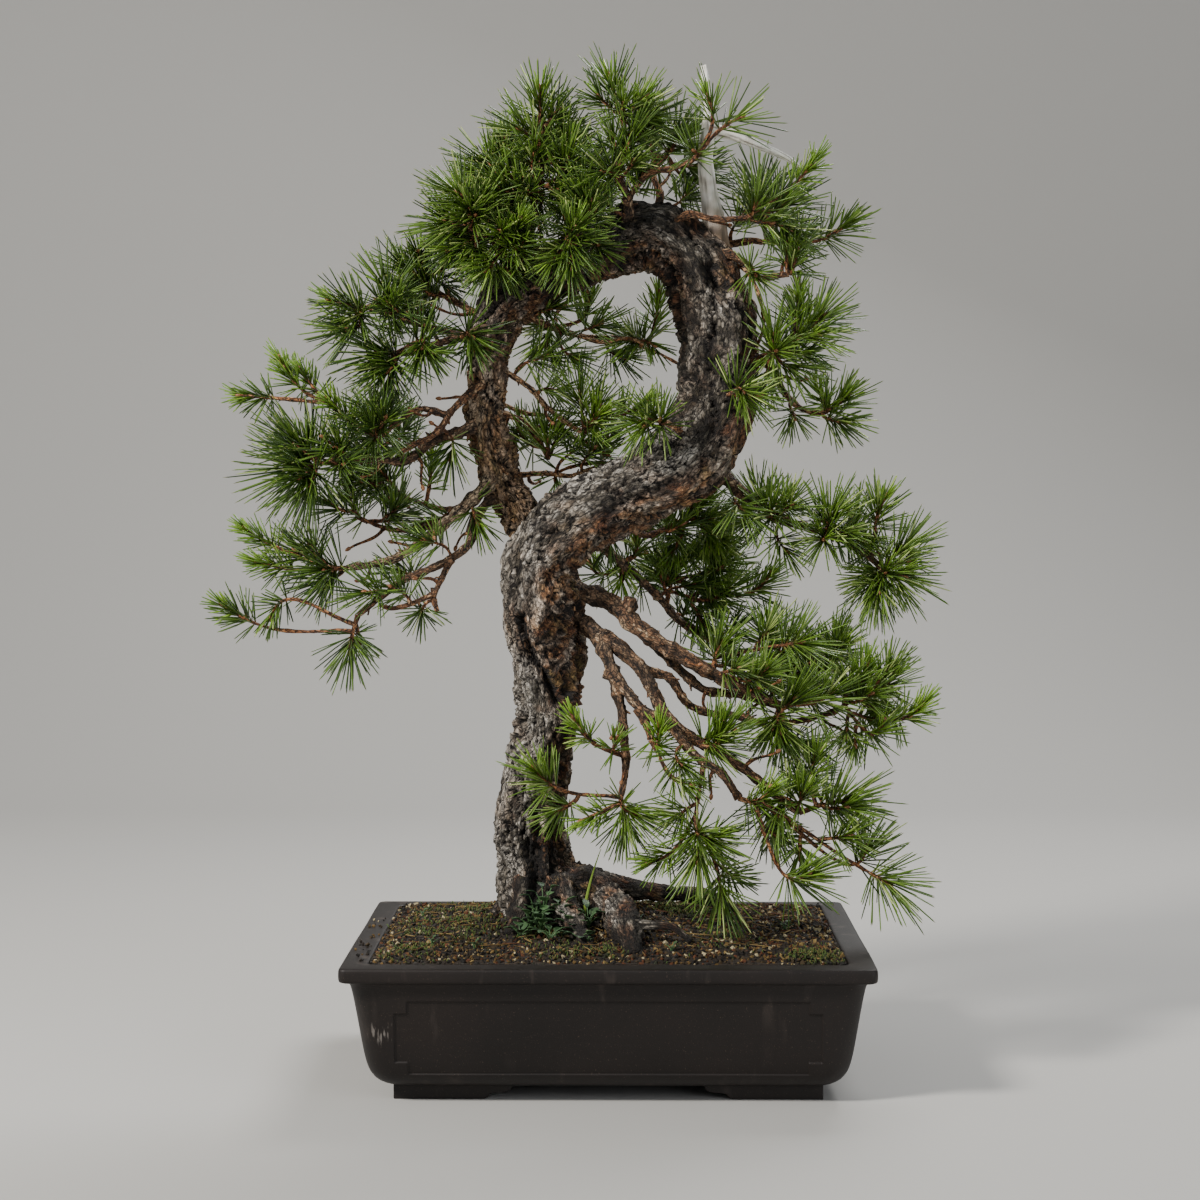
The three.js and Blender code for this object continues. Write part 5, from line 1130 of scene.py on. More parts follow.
def make_limbs(p):
    """Every limb as a scaly tapered stem, and short dead spurs where old twigs broke off."""
    skins = []
    for i, name in enumerate(LIMBS):
        points, start, end = limb_rows(name)
        sides = 14 if start > 6 else 11 if start > 4 else 9
        spacing = 1.9 if start > 4 else 2.2
        inner = name.startswith("inner")
        # Painted light: the limbs inside the loop, leftLow and innerMid are drawn paler.
        pale = 0.45 if name in ("leftLow", "innerMid") else 0.3 * inner
        warmth = 0.6 if inner else 0.1 + 0.25 * (start < 5)
        skins.append(scaly_stem(points, start, end, spacing, sides, 100 + i, warmth, pale=pale))
    rng = np.random.default_rng(8)
    for i, name in enumerate(LIMBS):
        points, start, end = limb_rows(name)
        path, along = evenly(points, 60)
        _, normal, binormal = side_frames(path)
        for middle in np.arange(rng.uniform(18, 34), along[-1] - 12, rng.uniform(26, 48)):
            k = int(np.searchsorted(along, middle))
            turn = rng.uniform(0, 2 * np.pi)
            way = normal[k] * np.cos(turn) + binormal[k] * np.sin(turn) + (path[k] - path[k - 1]) * 0.3
            reach = start + (end - start) * along[k] / along[-1]
            length = rng.uniform(3.5, 9) + reach
            spur = path[k] + unit(way) * np.linspace(0, length, 5)[:, None]
            spur[2:] += rng.normal(0, 0.5, 3)
            skins.append(scaly_stem(spur, reach * 0.42, 0.8, 1.3, 6, 700 + i, 0.3, 0.3))
    place(build_mesh("limbs", skins, [twig_bark(p)]), "bark", "tree")


def make_deadwood():
    """The bleached leader and its branch: tapered tubes with checks that wind along the grain,
    flattened a little, with a splintered top."""
    skins = []
    for i, rows in enumerate(DEADWOOD):
        points = course(rows)
        path, along = evenly(points, spacing=1.6)
        radius = girth(rows, points, along)
        angle = around(22)
        s, a = np.broadcast_arrays(along[:, None], angle[None])
        wide = np.sin(4 * a + s / 38 + 1.3 * np.sin(s / 21))
        fine = np.sin(9 * a - s / 26 + np.sin(s / 9))
        check = wide * 0.5 + 0.5 * fine
        groove = ease(-check, 0.25, 0.9)
        left = ease(along[-1] - s, 0, 16)
        splinter = 1 - (1 - left) * (0.35 + 0.3 * np.sin(3 * a + 1))
        lumps = 0.06 * waves(path, 24, 5 + i)[:, None]
        reach = radius[:, None] * (1.04 + 0.1 * check - 0.2 * groove + lumps)
        grid, _ = tube(path, reach * splinter, angle)
        marks = {
            "deep": groove * 0.8,
            "tone": 0.5 + 0.5 * waves(grid, 12, 9),
            "warm": (1 - ease(s, 10, 75)) * (1 - i) * 0.9,
        }
        skins.append(closed(grid, marks))
    place(build_mesh("deadwood", skins, [bleached_wood()]), "bark", "tree")


# Shoots and needles.


def pointing(angle, lean):
    """Direction of a shoot from its angle in the front view and its lean to the viewer."""
    flat = math.sqrt(1 - lean * lean)
    return np.array([math.cos(math.radians(angle)) * flat, -lean, math.sin(math.radians(angle)) * flat])


def ways_to(start, middle, direction, young):
    """Cubic curves from a limb to a tuft: the plain one, then ever wider bows to each side."""
    reach = np.linalg.norm(middle - start)
    line = (middle - start) / reach
    side = np.cross(line, direction)
    if np.linalg.norm(side) < 0.1:
        side = np.array([-line[2], 0.3, line[0]])
    side = side / np.linalg.norm(side)
    other = np.cross(line, side)
    tip = middle + direction * (SHOOT_TIP + CANDLE * young)
    curves = []
    for ring in range(4):
        for k in range(8 if ring else 1):
            bow = side * math.cos(k * math.pi / 4) + other * math.sin(k * math.pi / 4)
            bow = bow * ring * (5 + reach * 0.07)
            early = start + (middle - start) * 0.35 + bow
            late = middle - direction * 0.35 * reach + bow * 0.6
            curves.append(bezier([start, early, late, tip]))
    return curves


def taken_way(curves, young, corners):
    """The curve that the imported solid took: its rings lie nearest the solid's own corners. A
    shoot that the solid doesn't hold takes the plain curve."""
    best = first = None
    for curve in curves:
        path, along = evenly(curve, 40)
        leafy = 1 - min(0.9, (SHOOT_TIP + CANDLE * young + LEAFY_LENGTH) / along[-1])
        bare = max(1, min(3, round(leafy * along[-1] / 40)))
        shares = [leafy * i / bare for i in range(1, bare)]
        shares += [leafy + (1 - leafy) * 0.8 * i / BANDS for i in range(BANDS + 1)]
        share = np.array(shares)
        rings = path[np.round(share * 40).astype(int)]
        away = np.linalg.norm(rings[:, None] - corners, axis=-1).min(axis=1)
        miss = np.abs(away - SHOOT_RADIUS * (1.1 - 0.25 * share)).mean()
        if best is None or miss < best[0]:
            best = (miss, path, along[-1] * leafy)
        first = first or best
    return best[1:] if best[0] < NEAR_ENOUGH else first[1:]


def read_shoots(name):
    """The paths of a spray's shoots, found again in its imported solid."""
    limb, share, rows = SPRAYS[name]
    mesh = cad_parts["spray_" + name].data
    corners = np.empty(len(mesh.vertices) * 3, np.float32)
    mesh.vertices.foreach_get("co", corners)
    corners = np.unique(np.round(corners.reshape(-1, 3) / MM - ORIGIN, 2), axis=0)
    points = limb_rows(limb)[0]
    lengths = lengths_along(points)
    root = np.array([np.interp(share * lengths[-1], lengths, points[:, k]) for k in range(3)])
    shoots = []
    for x, y, z, angle, lean, size, young in rows:
        middle = in_sight([[x, y, z]])[0]
        start = root
        if shoots:
            first, _ = evenly(shoots[0]["path"], 200)
            tries = np.arange(0, 1.01, 0.05)
            away = np.linalg.norm(first[np.round(tries * 200).astype(int)] - middle, axis=1)
            start = first[int(round(max(0.04, min(tries[away.argmin()], 0.8) * 0.75) * 200))]
        direction = pointing(angle, lean)
        path, leafy = taken_way(ways_to(start, middle, direction, young), young, corners)
        shoots.append({"path": path, "leafy": leafy, "size": size, "young": young})
    return shoots


def soil_height(x, y):
    """Flush with the rim, a low mound round the trunk, and a grainy unevenness."""
    from_side = POT_WIDTH / 2 - RIM_INNER - np.abs(x)
    from_front = POT_DEPTH / 2 - RIM_INNER - np.abs(y)
    edge = np.minimum(1, np.minimum(from_side / 30, from_front / 30))
    mound = 17 * np.exp(-(((x + 20) / 150) ** 2) - ((y - 25) / 90) ** 2)
    grain = 0.7 * np.sin(x * 0.21 + np.sin(y * 0.13)) * np.sin(y * 0.24 + x * 0.05)
    return SOIL_EDGE + np.maximum(0, edge) * 5 + mound * np.clip(edge + 0.3, 0, 1) + grain


def is_free(points, wood):
    """Whether points lie outside the wood, the soil and the pot."""
    over = (np.abs(points[:, 0]) < POT_WIDTH / 2 + 3) & (np.abs(points[:, 1]) < POT_DEPTH / 2 + 3)
    floor = np.maximum(POT_HEIGHT, soil_height(points[:, 0], points[:, 1])) + 1
    return (depth_in_wood(points, wood) < 1) & ~(over & (points[:, 2] < floor))


# Sprays with more side shoots than the others, by the start of their names.
FULLER = ("crown_deep", "crown_mid", "crown_left", "lower_back", "lower_high")

# Sprays with fewer needles than the others: in front of the deadwood, on the very top and inside
# the loop.
THINNER = {
    "crown_star": 0.5, "crown_top": 0.75, "crown_peak_left": 0.8, "shoulder_star": 0.8,
    "shoulder_tip": 0.85, "inner_top": 0.8, "inner_mid": 0.85, "inner_low": 0.8, "inner_deep": 0.8,
    "inner_front": 0.75,
}

# Painted light on the needles, by the start of the spray's name: how much lighter and fresher they are drawn
# than the others; below 0 it is painted shade.
SPRAY_PAINTED_LIGHT = {"left": -0.12, "lower": 0.08, "right": 0.06, "inner": 0.09}


# Turns about a shoot, in radians: from one bundle to the next, and between a bundle's needles.
GOLDEN_TURN = 2.39996
THIRD_TURN = 2.0944

YOUNG_NEEDLE = 30  # length of this year's needles on a full shoot


def tuft(shoot, p, rng, wood, share=1.0):
    """Needles of a shoot. Bundles of three wind up the leafy end by the golden angle; low ones
    stand out sideways and the last ones point ahead. On a young shoot the end carries short
    bright needles that still lie close to it."""
    size, young, lighter = shoot["size"], shoot["young"], shoot.get("lighter", 0)
    length = p.needle_length / MM * size
    path, along = evenly(shoot["path"], 60)
    tangent, normal, binormal = side_frames(path)
    zone = along[-1] - shoot["leafy"]
    grown = min(1.0, (SHOOT_TIP + LEAFY_LENGTH) / zone)
    count = int(p.bundles * share * (0.3 + 0.7 * size))
    candle = int(p.bundles * 0.62 * young)
    ahead = grown + (1 - grown) * (np.arange(candle) + 0.5) / max(candle, 1)
    u = np.concatenate([(np.arange(count) + 0.5) / count * grown, ahead])
    new = np.arange(count + candle) >= count
    u = np.clip(u + rng.normal(0, 0.02, len(u)), 0, 0.985)
    spot = (shoot["leafy"] - 3 + u * (zone + 3)) / along[-1] * 60
    low = np.clip(spot.astype(int), 0, 59)
    part = (spot - low)[:, None]
    base = path[low] * (1 - part) + path[low + 1] * part
    turn = np.arange(len(u)) * GOLDEN_TURN + rng.normal(0, 0.25, len(u))
    old_tilt = 1.3 - 1.0 * (u / grown) ** 1.1
    new_tilt = 0.75 - 0.5 * np.clip((u - grown) / max(1 - grown, 0.01), 0, 1)
    tilt = np.where(new, new_tilt, old_tilt) + rng.normal(0, 0.16, len(u))
    aside = normal[low] * np.cos(turn)[:, None] + binormal[low] * np.sin(turn)[:, None]
    bundle = tangent[low] * np.cos(tilt)[:, None] + aside * np.sin(tilt)[:, None]
    base = base + aside * 0.8
    short = YOUNG_NEEDLE * (0.55 + 0.45 * size) * rng.uniform(0.75, 1.1, len(u))
    reach = np.where(new, short, length * (0.86 + 0.16 * u / grown))
    # Painted light: a spray that is drawn lighter is also drawn fresher.
    grown_fresh = np.clip(0.1 * young + ease(0.72 - size, 0.0, 0.2) * young + 2 * lighter, 0, 0.95)
    fresh = np.where(new, rng.uniform(0.75, 1, len(u)), grown_fresh)
    ref = unit(np.cross(bundle, rng.normal(size=bundle.shape)))
    other = np.cross(bundle, ref)
    third = np.tile(np.arange(3), len(u)) * THIRD_TURN
    pick = np.repeat(np.arange(len(u)), 3)
    spread = rng.uniform(0.06, 0.24, len(pick))
    apart = ref[pick] * np.cos(third)[:, None] + other[pick] * np.sin(third)[:, None]
    way = unit(bundle[pick] + apart * spread[:, None])
    needle = reach[pick] * rng.uniform(0.84, 1.05, len(pick))
    bend = rng.normal(size=way.shape) * 0.035
    bend = (bend - way * (bend * way).sum(-1, keepdims=True) + [0, 0, -0.025]) * needle[:, None]
    start = base[pick]
    keep = np.ones(len(pick), bool)
    for along_needle in (0.35, 0.7, 1.0):
        keep &= is_free(start + way * (needle * along_needle)[:, None], wood)
    # Painted light and shade: the spray's painted light shifts the tone of every needle.
    tone = np.clip(0.46 + lighter + rng.normal(0, 0.25, len(pick)), 0, 1)
    wide = p.needle_width / MM * rng.uniform(0.85, 1.15, len(pick)) * (0.92 + 0.08 * size)
    marks = {"fresh": fresh[pick][keep], "tone": tone[keep]}
    return spikes(start[keep], way[keep], needle[keep], bend[keep], wide[keep], marks, 1)


def bud(shoot):
    """A pointed bud on the tip of a shoot: an oval of revolution with a sharper end."""
    path, _ = evenly(shoot["path"], 60)
    end = path[-1] + unit(path[-1] - path[-3]) * np.linspace(-1.5, 5.5, 7)[:, None]
    t = np.linspace(0, 1, 7)
    reach = 2.1 * np.sqrt(np.sin(np.pi * np.clip(t, 0.02, 0.99) ** 0.8))
    grid, _ = tube(end, np.broadcast_to(reach[:, None], (7, 7)), around(7))
    return closed(grid, {}, 2)


def side_shoots(shoot, count, rng):
    """Short side shoots below a tuft, which fill the mass between the main ones."""
    made = []
    path, along = evenly(shoot["path"], 60)
    tangent, normal, binormal = side_frames(path)
    for _ in range(count if shoot["size"] > 0.7 else 0):
        k = int(rng.uniform(0.3, 0.9) * shoot["leafy"] / along[-1] * 60)
        turn = rng.uniform(0, 2 * np.pi)
        aside = normal[k] * np.cos(turn) + binormal[k] * np.sin(turn)
        reach = rng.uniform(12, 22)
        direction = unit(tangent[k] * 0.75 + aside * 0.8 + np.array([0, 0, 0.25]))
        end = path[k] + (tangent[k] * 0.5 + aside * 0.7) * reach
        corners = [path[k], path[k] + aside * reach * 0.4, end - direction * 5, end + direction * 12]
        curve = bezier(corners, 24)
        side = {"path": curve, "leafy": max(4.0, lengths_along(curve)[-1] - 15)}
        side.update(size=shoot["size"] * rng.uniform(0.62, 0.85), young=0.15 * rng.random())
        made.append(side)
    return made


# Bare twigs that cross the loop, and one that hangs at its right: x, depth, z along each.
LOOP_TWIGS = [
    [[-28, 40, 784], [-40, 44, 764], [-53, 47, 748], [-48, 51, 735], [-24, 55, 728]],
    [[-108, 50, 662], [-84, 56, 652], [-62, 58, 649], [-38, 60, 630], [-19, 60, 622], [-2, 60, 611]],
    [[-35, 66, 590], [-8, 58, 600], [12, 38, 606], [28, 12, 604]],
    [[112, 8, 806], [138, 0, 790], [150, 0, 762], [153, -2, 737], [146, -2, 716]],
    [[-52, 48, 737], [-34, 40, 730], [-8, 38, 722], [20, 40, 726], [40, 38, 716], [72, 26, 699]],
]


def fine_twigs(p, rng, wood):
    """Short crooked twigs off the limbs: a cubic curve that starts square to the limb and turns
    up and outward, some bare and some with a small tuft. Then the bare ones of the loop."""
    skins = []
    for name in LIMBS:
        if name == "crownFront":
            continue
        path, along = evenly(limb_rows(name)[0], 80)
        tangent, normal, binormal = side_frames(path)
        full = name.startswith(("inner", "back", "crown", "right"))
        first = 14 if full else (0.25 if name.startswith("left") else 0.55) * along[-1]
        for middle in np.arange(first + rng.uniform(0, 12), along[-1] - 6, 26 if full else 38):
            k = int(np.searchsorted(along, middle + rng.uniform(-5, 5)))
            k = min(max(k, 1), 79)
            turn = rng.uniform(0, 2 * np.pi)
            aside = unit(normal[k] * np.cos(turn) + binormal[k] * np.sin(turn) + [0, 0, 0.35])
            reach = rng.uniform(20, 42)
            way = unit(tangent[k] * 0.7 + aside * 0.7 + rng.normal(0, 0.2, 3) + [0, 0, 0.25])
            end_at = path[k] + (tangent[k] * 0.45 + aside * 0.75) * reach
            late = end_at - way * reach * 0.3 + rng.normal(0, 3, 3)
            curve = bezier([path[k], path[k] + aside * reach * 0.45, late, end_at + way * 6], 24)
            if not is_free(curve[8:], wood).all():
                continue
            skins.append(scaly_stem(curve, 1.9, 1.1, 3.0, 6, 4000 + len(skins), 0.75, 0.5))
            if rng.random() < (0.72 if full else 0.4):
                shoot = {"path": curve, "leafy": max(4.0, lengths_along(curve)[-1] - 17)}
                shoot.update(size=rng.uniform(0.55, 0.85), young=0.2 * rng.random())
                skins.append(tuft(shoot, p, rng, wood))
            skins.append(bud({"path": curve}))
    # Painted light: the loop's bare twigs are drawn paler (0.35).
    for i, rows in enumerate(LOOP_TWIGS):
        curve = spline(in_sight(rows), 16)
        skins.append(scaly_stem(curve, 2.3, 1.5, 2.2, 7, 4900 + i, 0.75, 0.4, 0.35))
        skins.append(bud({"path": curve}))
    return skins


def make_sprays(p, bark):
    """Each spray's stems, needles and buds in the place of its solid."""
    looks = [twig_bark(bark), pine_needles(p), bud_scales()]
    wood = wood_stretches()
    for i, name in enumerate(SPRAYS):
        rng = np.random.default_rng(1000 + i)
        shoots = read_shoots(name)
        share = THINNER.get(name, 1)
        more = 0 if share < 0.7 else p.side_shoots + (2 if name.startswith(FULLER) else 0)
        shoots += [side for s in list(shoots) for side in side_shoots(s, more, rng)]
        skins = []
        for j, shoot in enumerate(shoots):
            shoot["lighter"] = SPRAY_PAINTED_LIGHT.get(name.split("_")[0], 0)
            wide = 2.5 if j == 0 else 2.1
            skins.append(scaly_stem(shoot["path"], wide, 1.5, 3.0, 7, 2000 + 20 * i + j, 0.7, 0.2))
            skins.append(tuft(shoot, p, rng, wood, share))
            skins.append(bud(shoot))
        place(build_mesh("foliage_" + name, skins, looks), "needles", "spray_" + name)
    place(build_mesh("fine_twigs", fine_twigs(p, np.random.default_rng(77), wood), looks), "needles")


# Pot.

# The pot's wall from its foot up to the rim and down inside: half width, height and corner
# radius. The half depth is less than the half width by the same amount throughout.
WALL = [
    (196, 13, 14), (204, 13, 16), (208, 14.2, 17), (214, 16.6, 18), (220, 21, 20), (225, 28, 22),
    (228, 37, 22), (231, 52, 22), (234, 72, 21), (237, 92, 20), (240, 110, 18), (242, 118, 14),
    (248, 118.5, 8), (250, 120.5, 7), (250, 130.5, 7), (248.5, 133, 6), (226, 133, 8), (224.4, 131.5, 9),
    (224, 120, 12), (222, 70, 18), (217, 44, 20), (206, 30, 20), (192, 24, 16), (150, 24, 12),
]
RIM_BOTTOM = 118.2  # the panels lie below it
CORE = 200  # half length of the front on which columns stay upright
WARP = {"size": 190, "depth": 0.35}  # unevenness of fired clay

# Bracket feet: corner of the front arms, thickness, and how far the side arms lie inside them.
FOOT = {"x": 203, "y": 138, "thick": 16, "hair": 0.1}


def smooth_profile():
    """The wall's rows with their corners cut twice, at steps of about 2.4 mm, and with rows on
    each side of every level edge of the panels."""
    rows = np.array(WALL, float)
    for _ in range(2):
        near, far = rows[:-1] * 0.75 + rows[1:] * 0.25, rows[:-1] * 0.25 + rows[1:] * 0.75
        rows = np.vstack([rows[:1], np.stack([near, far], axis=1).reshape(-1, 3), rows[-1:]])
    lengths = lengths_along(rows[:, :2])
    top = int(np.argmax(rows[:, 0] > 243))
    wanted = [np.linspace(0, lengths[top] - 6, 34), np.linspace(lengths[top] - 4, lengths[top] + 46, 34)]
    wanted.append(np.linspace(lengths[top] + 50, lengths[-1], 12))
    for z in (PANEL["low"], PANEL["low"] + PANEL["notch"], PANEL["high"] - PANEL["notch"], PANEL["high"]):
        edge = np.interp(z, rows[:top, 1], lengths[:top])
        wanted.append(edge + np.array([-1.5, -0.75, 0, 0.75, 1.5]))
    wanted = np.unique(np.round(np.clip(np.concatenate(wanted), 0, lengths[-1]), 2))
    wanted = wanted[np.concatenate([[True], np.diff(wanted) > 0.3])]
    return np.column_stack([np.interp(wanted, lengths, rows[:, k]) for k in range(3)])


def side_columns(half):
    """Columns along one side: -1 to 1 outside the core, and fixed places inside it."""
    core = CORE - (POT_WIDTH - POT_DEPTH) / 2 if half == "depth" else CORE
    edge = PANEL["half_" + half]
    fixed = list(np.linspace(-core, core, int(core / 6)))
    for x in (edge, edge - PANEL["notch"]):
        for sign in (-1, 1):
            fixed += [sign * x + d for d in (-1.2, -0.6, 0, 0.6, 1.2) if abs(sign * x + d) < core]
    fixed = np.unique(np.round(fixed, 1))
    return fixed[np.concatenate([[True], np.diff(fixed) > 0.25])], core


def panel_depth(along, z, half):
    """How deep a panel lies: its full depth inside a long rectangle whose corners are notched."""
    n, low, high = PANEL["notch"], PANEL["low"], PANEL["high"]
    x = np.abs(along)
    inside = np.minimum(
        np.minimum(half - x, np.minimum(z - low, high - z)),
        np.maximum(half - n - x, np.minimum(z - low - n, high - n - z)),
    )
    return PANEL["depth"] * ease(inside, -0.7, 0.7)


def wall_grid():
    """Pot surface: each row is a rectangle with round corners, the panels are pressed in, and
    the whole is slightly warped."""
    rows = smooth_profile()
    half, z, corner = rows[:, 0:1], rows[:, 1:2], rows[:, 2:3]
    narrow = half - (POT_WIDTH - POT_DEPTH) / 2
    outside = np.arange(len(rows))[:, None] < np.argmax(rows[:, 1] > RIM_BOTTOM)
    xs, ys = [], []
    for side in range(4):
        kind = "width" if side % 2 == 0 else "depth"
        reach, away = (half, narrow) if kind == "width" else (narrow, half)
        fixed, core = side_columns(kind)
        straight = reach - corner
        squeeze = np.minimum(1, (straight - 1) / core)
        spread = core + (straight - core) * np.array([0.33, 0.66])
        spread = np.where(squeeze < 1, straight - 1 + np.array([0.33, 0.66]), spread)
        along = np.hstack([-spread[:, ::-1], fixed[None] * squeeze, spread])
        press = np.where(outside, panel_depth(along, z, PANEL["half_" + kind]), 0)
        out = np.broadcast_to(away, along.shape) - press
        turn = np.linspace(0, np.pi / 2, 9)[None]
        bend_along = straight + corner * np.sin(turn)
        bend_out = away - corner + corner * np.cos(turn)
        along, out = np.hstack([along, bend_along]), np.hstack([out, bend_out])
        quarter = side * np.pi / 2
        xs.append(along * round(math.cos(quarter)) + out * round(math.sin(quarter)))
        ys.append(along * round(math.sin(quarter)) - out * round(math.cos(quarter)))
    x, y = np.hstack(xs), np.hstack(ys)
    grid = np.stack([x, y, np.broadcast_to(z, x.shape)], axis=-1)
    sag = waves(grid * [1, 1, 0.4], WARP["size"], 4) * WARP["depth"]
    grid[..., :2] *= 1 + (sag / 230)[..., None]
    return grid


def make_pot(p):
    """Wall, rim, inside and base in one closed skin with two drain holes, on bracket feet."""
    grid = wall_grid()
    wear = np.clip(0.35 + 0.9 * ease(grid[..., 2], 112, 120) + 0.3 * waves(grid, 60, 12), 0, 1)
    mesh = build_mesh("pot_body", [closed(grid, {"wear": wear})], [stoneware(p)])
    pot = place(mesh, "stoneware", "pot")
    cut_drains(pot)
    arms = [foot_arm(sx, sy, kind) for sx in (-1, 1) for sy in (-1, 1) for kind in ("front", "side")]
    foot = place(build_mesh("pot_feet", arms, [pot.data.materials[0]], smooth=False), "stoneware", "pot")
    worn = foot.modifiers.new("worn_edges", "BEVEL")
    worn.width, worn.segments, worn.limit_method = 1.0 * MM, 2, "ANGLE"


def foot_arm(sx, sy, kind):
    """One arm of a bracket foot: an outline with a flat sole, a step and a round shoulder, drawn
    out inwards. The side arms lie a hair inside the front ones at the corner."""
    length = 113 if kind == "front" else 80
    sole = 0.0 if kind == "front" else FOOT["hair"]
    top = FOOT_HEIGHT + 1
    outline = np.array([
        (0, top), (0, sole), (length - 27, sole), (length - 24, 1.6), (length - 22, 4.4),
        (length - 19, 5.8), (length - 9, 6.4), (length - 4, 7.6), (length - 1.2, 10), (length, top),
    ])
    n = len(outline)
    u, z = outline.T
    loops = []
    x, y = FOOT["x"] - sole, FOOT["y"] - sole
    for inner in (0, FOOT["thick"]):
        if kind == "front":
            loops.append(np.column_stack([x - u, np.full(n, y - inner), z]))
        else:
            loops.append(np.column_stack([np.full(n, x - inner), y - u, z]))
    points = np.vstack(loops) * [sx, sy, 1]
    i = np.arange(n)
    j = (i + 1) % n
    quads = np.stack([i, j, j + n, i + n], axis=-1)
    k = np.arange(1, n - 1)
    tris = np.vstack([np.stack([0 * k, k + 1, k], axis=-1), np.stack([0 * k + n, k + n, k + 1 + n], axis=-1)])
    if (sx * sy > 0) == (kind == "front"):
        quads, tris = quads[:, ::-1], tris[:, ::-1]
    return {"points": points, "quads": quads, "tris": tris, "marks": {"wear": np.full(2 * n, 0.4)}, "look": 0}


def cut_drains(pot):
    """The round drain holes through the base, cut once the wall is whole."""
    plug = bmesh.new()
    bore = {"radius1": DRAIN["radius"], "radius2": DRAIN["radius"], "depth": 40}
    for side in (-1, 1):
        made = bmesh.ops.create_cone(plug, cap_ends=True, segments=40, **bore)
        bmesh.ops.translate(plug, vec=(side * DRAIN["x"], 0, 18), verts=made["verts"])
    mesh = bpy.data.meshes.new("drain_plug")
    plug.to_mesh(mesh)
    plug.free()
    mesh.transform(Matrix.Diagonal((MM, MM, MM, 1)))
    mesh.transform(Matrix.Translation([v * MM for v in ORIGIN]))
    cutter = in_scene("drain_plug", mesh)
    cut = pot.modifiers.new("drains", "BOOLEAN")
    cut.operation, cut.solver, cut.object = "DIFFERENCE", "EXACT", cutter
    made = bpy.data.meshes.new_from_object(pot.evaluated_get(bpy.context.evaluated_depsgraph_get()))
    pot.modifiers.clear()
    whole, pot.data = pot.data, made
    made.name = "pot_body"
    bpy.data.objects.remove(cutter)
    bpy.data.meshes.remove(mesh)
    bpy.data.meshes.remove(whole)


# Soil, moss and weeds.


def scattered(rng, count, margin=1.5):
    """Random places in the pot's opening, at least a grain apart on average."""
    half_x, half_y = POT_WIDTH / 2 - RIM_INNER - margin, POT_DEPTH / 2 - RIM_INNER - margin
    columns = int(math.sqrt(count * half_x / half_y))
    rows = int(count / columns)
    u, v = np.meshgrid((np.arange(columns) + 0.5) / columns, (np.arange(rows) + 0.5) / rows)
    u = np.clip(u.ravel() + rng.uniform(-0.7, 0.7, u.size) / columns, 0, 1)
    v = np.clip(v.ravel() + rng.uniform(-0.7, 0.7, v.size) / rows, 0, 1)
    return np.column_stack([(u * 2 - 1) * half_x, (v * 2 - 1) * half_y])


def chips(rng, places, size, tone, fresh):
    """Grains: eight-sided chips, each stretched and turned at random."""
    n = len(places)
    corners = np.array([[1, 0, 0], [0, 1, 0], [-1, 0, 0], [0, -1, 0], [0, 0, 1], [0, 0, -1]], float)
    faces = np.array([[0, 1, 4], [1, 2, 4], [2, 3, 4], [3, 0, 4], [1, 0, 5], [2, 1, 5], [3, 2, 5], [0, 3, 5]])
    shape = corners[None] * (size[:, None] * rng.uniform(0.6, 1.15, (n, 3)))[:, None]
    shape = shape + rng.normal(0, 0.16, shape.shape) * size[:, None, None]
    first = unit(rng.normal(size=(n, 3)))
    second = unit(np.cross(first, rng.normal(size=(n, 3))))
    turn = np.stack([first, second, np.cross(first, second)], axis=1)
    points = places[:, None] + np.einsum("nij,njk->nik", shape, turn)
    return {
        "points": points.reshape(-1, 3), "quads": np.empty((0, 4), int),
        "tris": (faces + (np.arange(n) * 6)[:, None, None]).reshape(-1, 3),
        "marks": {"tone": np.repeat(tone, 6), "fresh": np.repeat(fresh, 6)}, "look": 0,
    }


# Mossy places on the soil: x, y, reach and share of moss.
MOSS_SPOTS = [
    (-75, -52, 26, 1.0), (-150, -20, 60, 0.55), (-120, 60, 70, 0.45), (70, 45, 34, 0.9),
    (200, -135, 30, 0.9), (-190, -120, 34, 0.6), (-30, -120, 40, 0.5), (110, -60, 40, 0.35),
    (30, 110, 60, 0.5), (-40, 70, 40, 0.7),
]


def moss_share(x, y):
    """How mossy the soil is at a place: green to the left and by the trunk, bare to the right."""
    share = np.zeros(np.shape(x))
    for cx, cy, reach, much in MOSS_SPOTS:
        share = np.maximum(share, much * np.exp(-(((x - cx) ** 2 + (y - cy) ** 2) / reach ** 2)))
    flat = np.stack([x, y, np.zeros(np.shape(x))], axis=-1)
    return np.clip(share + 0.22 * waves(flat, 46, 21) * share ** 0.3, 0, 1)


def spread_grains(name, count, small, large, lift, seed, wood, look):
    """A layer of grains between two sizes, at random over the soil's height plus the lift, with
    a few on the rim, and greenish where the soil is mossy. Gives back its random numbers."""
    rng = np.random.default_rng(seed)
    strays = np.column_stack([rng.uniform(-244, -228, 14), rng.uniform(-160, 80, 14)])
    flat = np.vstack([scattered(rng, count), strays])
    size = rng.uniform(small, large, len(flat)) * (1 + 0.5 * (rng.random(len(flat)) < 0.06))
    z = soil_height(flat[:, 0], flat[:, 1]) + rng.uniform(-0.7, 0.5, len(flat)) + lift
    z = np.where(np.abs(flat[:, 0]) > POT_WIDTH / 2 - RIM_INNER, POT_HEIGHT + 0.5 * size, z)
    places = np.column_stack([flat, z])
    keep = depth_in_wood(places, wood) < 1.5
    green = moss_share(flat[:, 0], flat[:, 1])
    fresh = np.where(rng.random(len(flat)) < green * 0.75, rng.uniform(0.4, 0.9, len(flat)), 0.0)
    skin = chips(rng, places[keep], size[keep], rng.random(len(flat))[keep], fresh[keep])
    place(build_mesh(name, [skin], [look], smooth=False), "soil")
    return rng


